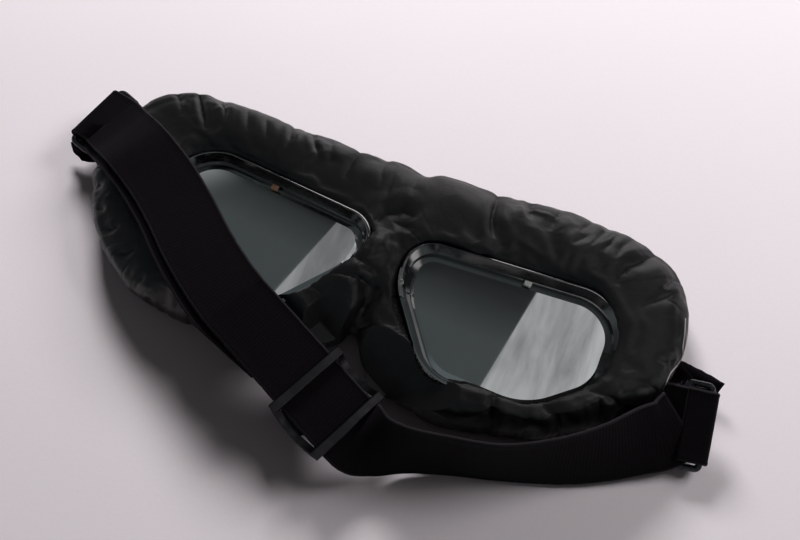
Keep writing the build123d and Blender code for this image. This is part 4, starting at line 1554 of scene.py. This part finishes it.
class GOGGLES_OT_straps(Operator):
    """Makes the elastic strap, its folds and its sewn ends"""

    bl_idname = "goggles.straps"
    bl_label = "Webbing strap"

    def execute(self, context):
        web = Webbing(context.scene.goggles)
        sewing = thread("black_thread", (0.030, 0.028, 0.032))
        yarn = thread("frayed_yarn", (0.045, 0.038, 0.060))

        strap = left_strap(web)
        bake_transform(strap)
        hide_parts("strap_left_upper", "strap_left_under", "strap_left_wrap")

        strap = right_strap(web)
        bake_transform(strap)
        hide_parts("strap_right_run")

        strap = right_fold(web)
        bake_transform(strap)
        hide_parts("strap_right_wrap")

        loop = end_loop(web)
        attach(loop, "slider_body")
        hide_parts("strap_end_loop")

        for ring, name in ((LEFT_RING, "left"), (RIGHT_RING, "right")):
            tab = strap_tab(web, name, ring)
            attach(tab, f"{name}_half")
            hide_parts(f"{name}_strap_tab")
            for piece in (
                tab_fray(web, name, ring, yarn),
                tab_corner(web, name, ring),
                tab_stitches(web, name, ring, sewing),
            ):
                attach(piece, f"{name}_half")
        return {"FINISHED"}


# Hard pieces


class GOGGLES_OT_hardware(Operator):
    """Gives the rims, lenses, rings, clips and the slider their finishes"""

    bl_idname = "goggles.hardware"
    bl_label = "Rims, lenses and metal"

    def execute(self, context):
        metal = context.scene.goggles.metal
        chrome = plated("rim_chrome", tuple(metal.chrome), 0.05, 0.82)
        brass = plated("aged_copper", (0.50, 0.27, 0.17), 0.22, 0.7)
        nickel = plated("bright_nickel", (0.66, 0.64, 0.60), 0.16, 0.8)
        steel = plated("ring_black_nickel", (0.060, 0.057, 0.060), 0.20, 0.6)
        dark = plated("slider_black", tuple(metal.slider), 0.30, 1.8)
        inner = plated("back_ring_black", (0.030, 0.029, 0.030), 0.4, 1.4)
        glass = mirrored_glass("mirror_glass", tuple(context.scene.goggles.lens.tint))
        seal = rubber("gasket_rubber")
        looks = {"right_lens_clip": nickel, "left_lens_clip": brass, "slider": dark}
        paired = {
            "rim": chrome,
            "rim_clasp": nickel,
            "clasp_screw": nickel,
            "lens": glass,
            "lens_gasket": seal,
            "back_ring": inner,
            "ring": steel,
        }
        for part, look in paired.items():
            looks[f"right_{part}"] = looks[f"left_{part}"] = look
        for node, look in looks.items():
            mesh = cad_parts[node].data
            mesh.materials.clear()
            mesh.materials.append(look)
        return {"FINISHED"}


# Stage

# The point that the lamps look at
LIT_POINT = Vector((0.02, 0.02, 0))
# Pleated cloth lamps: name, cloth, brightness and corners
PLEATED_LAMPS = [
    (
        "pleated_lamp_right",
        "pleated_cloth_right",
        1.02,
        [(88, 60, 500), (420, 60, 500), (420, 560, 500), (166, 560, 500)],
    ),
    (
        "pleated_lamp_left",
        "pleated_cloth_left",
        0.72,
        [(-282, 70, 500), (-168, 70, 500), (-110, 470, 500), (-182, 470, 500)],
    ),
]
# Even cloth lamps: name, cloth, brightness, colour, share of each side that fades, and corners
EVEN_LAMPS = [
    (
        "dim_lamp_left",
        "dim_cloth",
        0.50,
        (0.93, 0.98, 1.0),
        (0.34, 0.26),
        [(-560, 235, 500), (-322, 235, 500), (-322, 480, 500), (-560, 480, 500)],
    ),
    (
        "window_cloth",
        "window_cloth",
        3.6,
        (1.0, 0.99, 0.98),
        (0.30, 0.45),
        [(-460, 640, 10), (420, 640, 10), (420, 610, 300), (-460, 610, 300)],
    ),
    (
        "doorway_cloth",
        "doorway_cloth",
        1.6,
        (1.0, 0.99, 0.98),
        (0.35, 0.40),
        [(640, 380, 40), (640, -260, 40), (600, -260, 420), (600, 380, 420)],
    ),
]


def area_light(name, place, size, watts, tint):
    """Lamp for the diffuse light; what shines shows the cloth lamps instead."""
    light = bpy.data.lights.new(name, "AREA")
    light.shape = "RECTANGLE"
    light.size, light.size_y = size
    light.energy = watts
    light.color = tint
    lamp = bpy.data.objects.new(name, light)
    lamp.location = place
    lamp.rotation_euler = (LIT_POINT - lamp.location).to_track_quat("-Z", "Y").to_euler()
    lamp.visible_glossy = False
    bpy.context.scene.collection.objects.link(lamp)


def glowing_panel(name, corners, margins, material):
    """A cloth lamp between four corners, whose glow fades out towards its edges."""
    count = 25
    a, b, c, d = np.array(corners, float)
    rows, fade = [], []
    for v in np.linspace(0, 1, count):
        for u in np.linspace(0, 1, count):
            rows.append((a + (b - a) * u) * (1 - v) + (d + (c - d) * u) * v)
            edge = min(min(u, 1 - u) / margins[0], 1.0) * min(min(v, 1 - v) / margins[1], 1.0)
            fade.append(edge * edge * (3 - 2 * edge))
    points, faces = lattice(np.array(rows).reshape(count, count, 3), False, False)
    return new_mesh(name, points, [face[::-1] for face in faces], material, carried={"fade": fade})


def cloth_lamps():
    """Lamps that show only in what shines."""
    lamps = []
    for name, cloth, bright, corners in PLEATED_LAMPS:
        glow = pleated_light(cloth, bright)
        lamps.append(new_mesh(name, corners, [(0, 3, 2, 1)], glow, smooth=False))
    for name, cloth, bright, colour, margins, corners in EVEN_LAMPS:
        lamps.append(glowing_panel(name, corners, margins, soft_glow(cloth, bright, colour)))
    for lamp in lamps:
        lamp.visible_diffuse = False
        lamp.visible_shadow = False
        lamp.visible_camera = False
    return lamps


def room_air():
    """The room: dim and greenish in what shines, dimmer and neutral as light on the pieces."""
    air = Finish("studio_air", bpy.data.worlds)
    ways = {"Vector": air.node("ShaderNodeTexCoord", output=0)}
    back = air.node("ShaderNodeSeparateXYZ", None, ways, output=1)
    rise = air.node("ShaderNodeSeparateXYZ", None, ways, output=2)
    wall = back.spread(0.415, 0.462, 1.0, 0.22) + back.spread(0.60, 0.80, 0.0, 0.5)
    near = wall + back.spread(-0.10, -0.55, 0.0, 1.6) + rise.spread(0.30, -0.1, 0.0, 1.6)
    room = air.mix(near * 0.5, BLACK, (0.166, 0.196, 0.204))
    diffuse = air.node("ShaderNodeLightPath", output=2)
    tone = air.mix(diffuse, room, (0.045, 0.041, 0.042))
    glow = air.node("ShaderNodeBackground", None, {"Color": tone, "Strength": 1.0})
    air.node("ShaderNodeOutputWorld", None, {"Surface": glow})
    return air.made


def photo_camera():
    """The camera that sees what the photograph shows."""
    lens = bpy.data.cameras.new("camera")
    lens.sensor_width = SENSOR_WIDTH
    lens.lens = FOCAL_LENGTH
    lens.clip_start, lens.clip_end = 0.01, 20.0
    camera = bpy.data.objects.new("camera", lens)
    side, top, back = view_axes()
    eye = (np.array(TARGET) + back * VIEW_DISTANCE) * MM
    camera.matrix_world = Matrix.Translation(eye) @ Matrix((side, top, back)).transposed().to_4x4()
    bpy.context.scene.collection.objects.link(camera)
    return camera


class GOGGLES_OT_stage(Operator):
    """Sets the floor, the lamps and the camera"""

    bl_idname = "goggles.stage"
    bl_label = "Studio"

    def execute(self, context):
        far = 2500
        floor = new_mesh(
            "paper_floor",
            [(-far, -far, 0), (far, -far, 0), (far, far, 0), (-far, far, 0)],
            [(0, 1, 2, 3)],
            paper("pale_paper"),
            smooth=False,
        )
        floor.location.z = -0.00005
        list(cloth_lamps())
        tint = (1.0, 0.962, 0.975)
        area_light("window_light", (-0.36, 0.60, 0.42), (0.26, 0.20), 7.0, tint)
        area_light("room_light", (0.46, 0.44, 0.52), (0.36, 0.30), 3.4, tint)
        scene = context.scene
        scene.world = room_air()
        scene.camera = photo_camera()
        scene.view_settings.view_transform = "Standard"
        return {"FINISHED"}


class GOGGLES_PT_panel(Panel):
    """Lists the goggles' pieces in the sidebar"""

    bl_idname = "GOGGLES_PT_panel"
    bl_label = "Aviator goggles"
    bl_space_type = "VIEW_3D"
    bl_region_type = "UI"
    bl_category = "Goggles"

    def draw(self, context):
        settings = context.scene.goggles
        for operator in OPERATORS:
            self.layout.operator(operator.bl_idname)
        for group in (settings.surround, settings.webbing, settings.metal, settings.lens):
            box = self.layout.box()
            for name in group.__annotations__:
                box.prop(group, name)
        self.layout.prop(settings, "seed")


OPERATORS = (
    GOGGLES_OT_surrounds,
    GOGGLES_OT_linings,
    GOGGLES_OT_straps,
    GOGGLES_OT_hardware,
    GOGGLES_OT_stage,
)
CLASSES = (
    SurroundSettings,
    WebbingSettings,
    MetalSettings,
    LensSettings,
    GogglesSettings,
    *OPERATORS,
    GOGGLES_PT_panel,
)


def register():
    """Makes the settings and operators known."""
    for entry in CLASSES:
        bpy.utils.register_class(entry)
    bpy.types.Scene.goggles = PointerProperty(type=GogglesSettings)


def unregister():
    """Takes them away again, last first."""
    del bpy.types.Scene.goggles
    for entry in reversed(CLASSES):
        bpy.utils.unregister_class(entry)


def main():
    """Dresses the goggles."""
    register()
    bpy.ops.goggles.surrounds()
    bpy.ops.goggles.linings()
    bpy.ops.goggles.straps()
    bpy.ops.goggles.hardware()
    bpy.ops.goggles.stage()


if __name__ == "__main__":
    main()
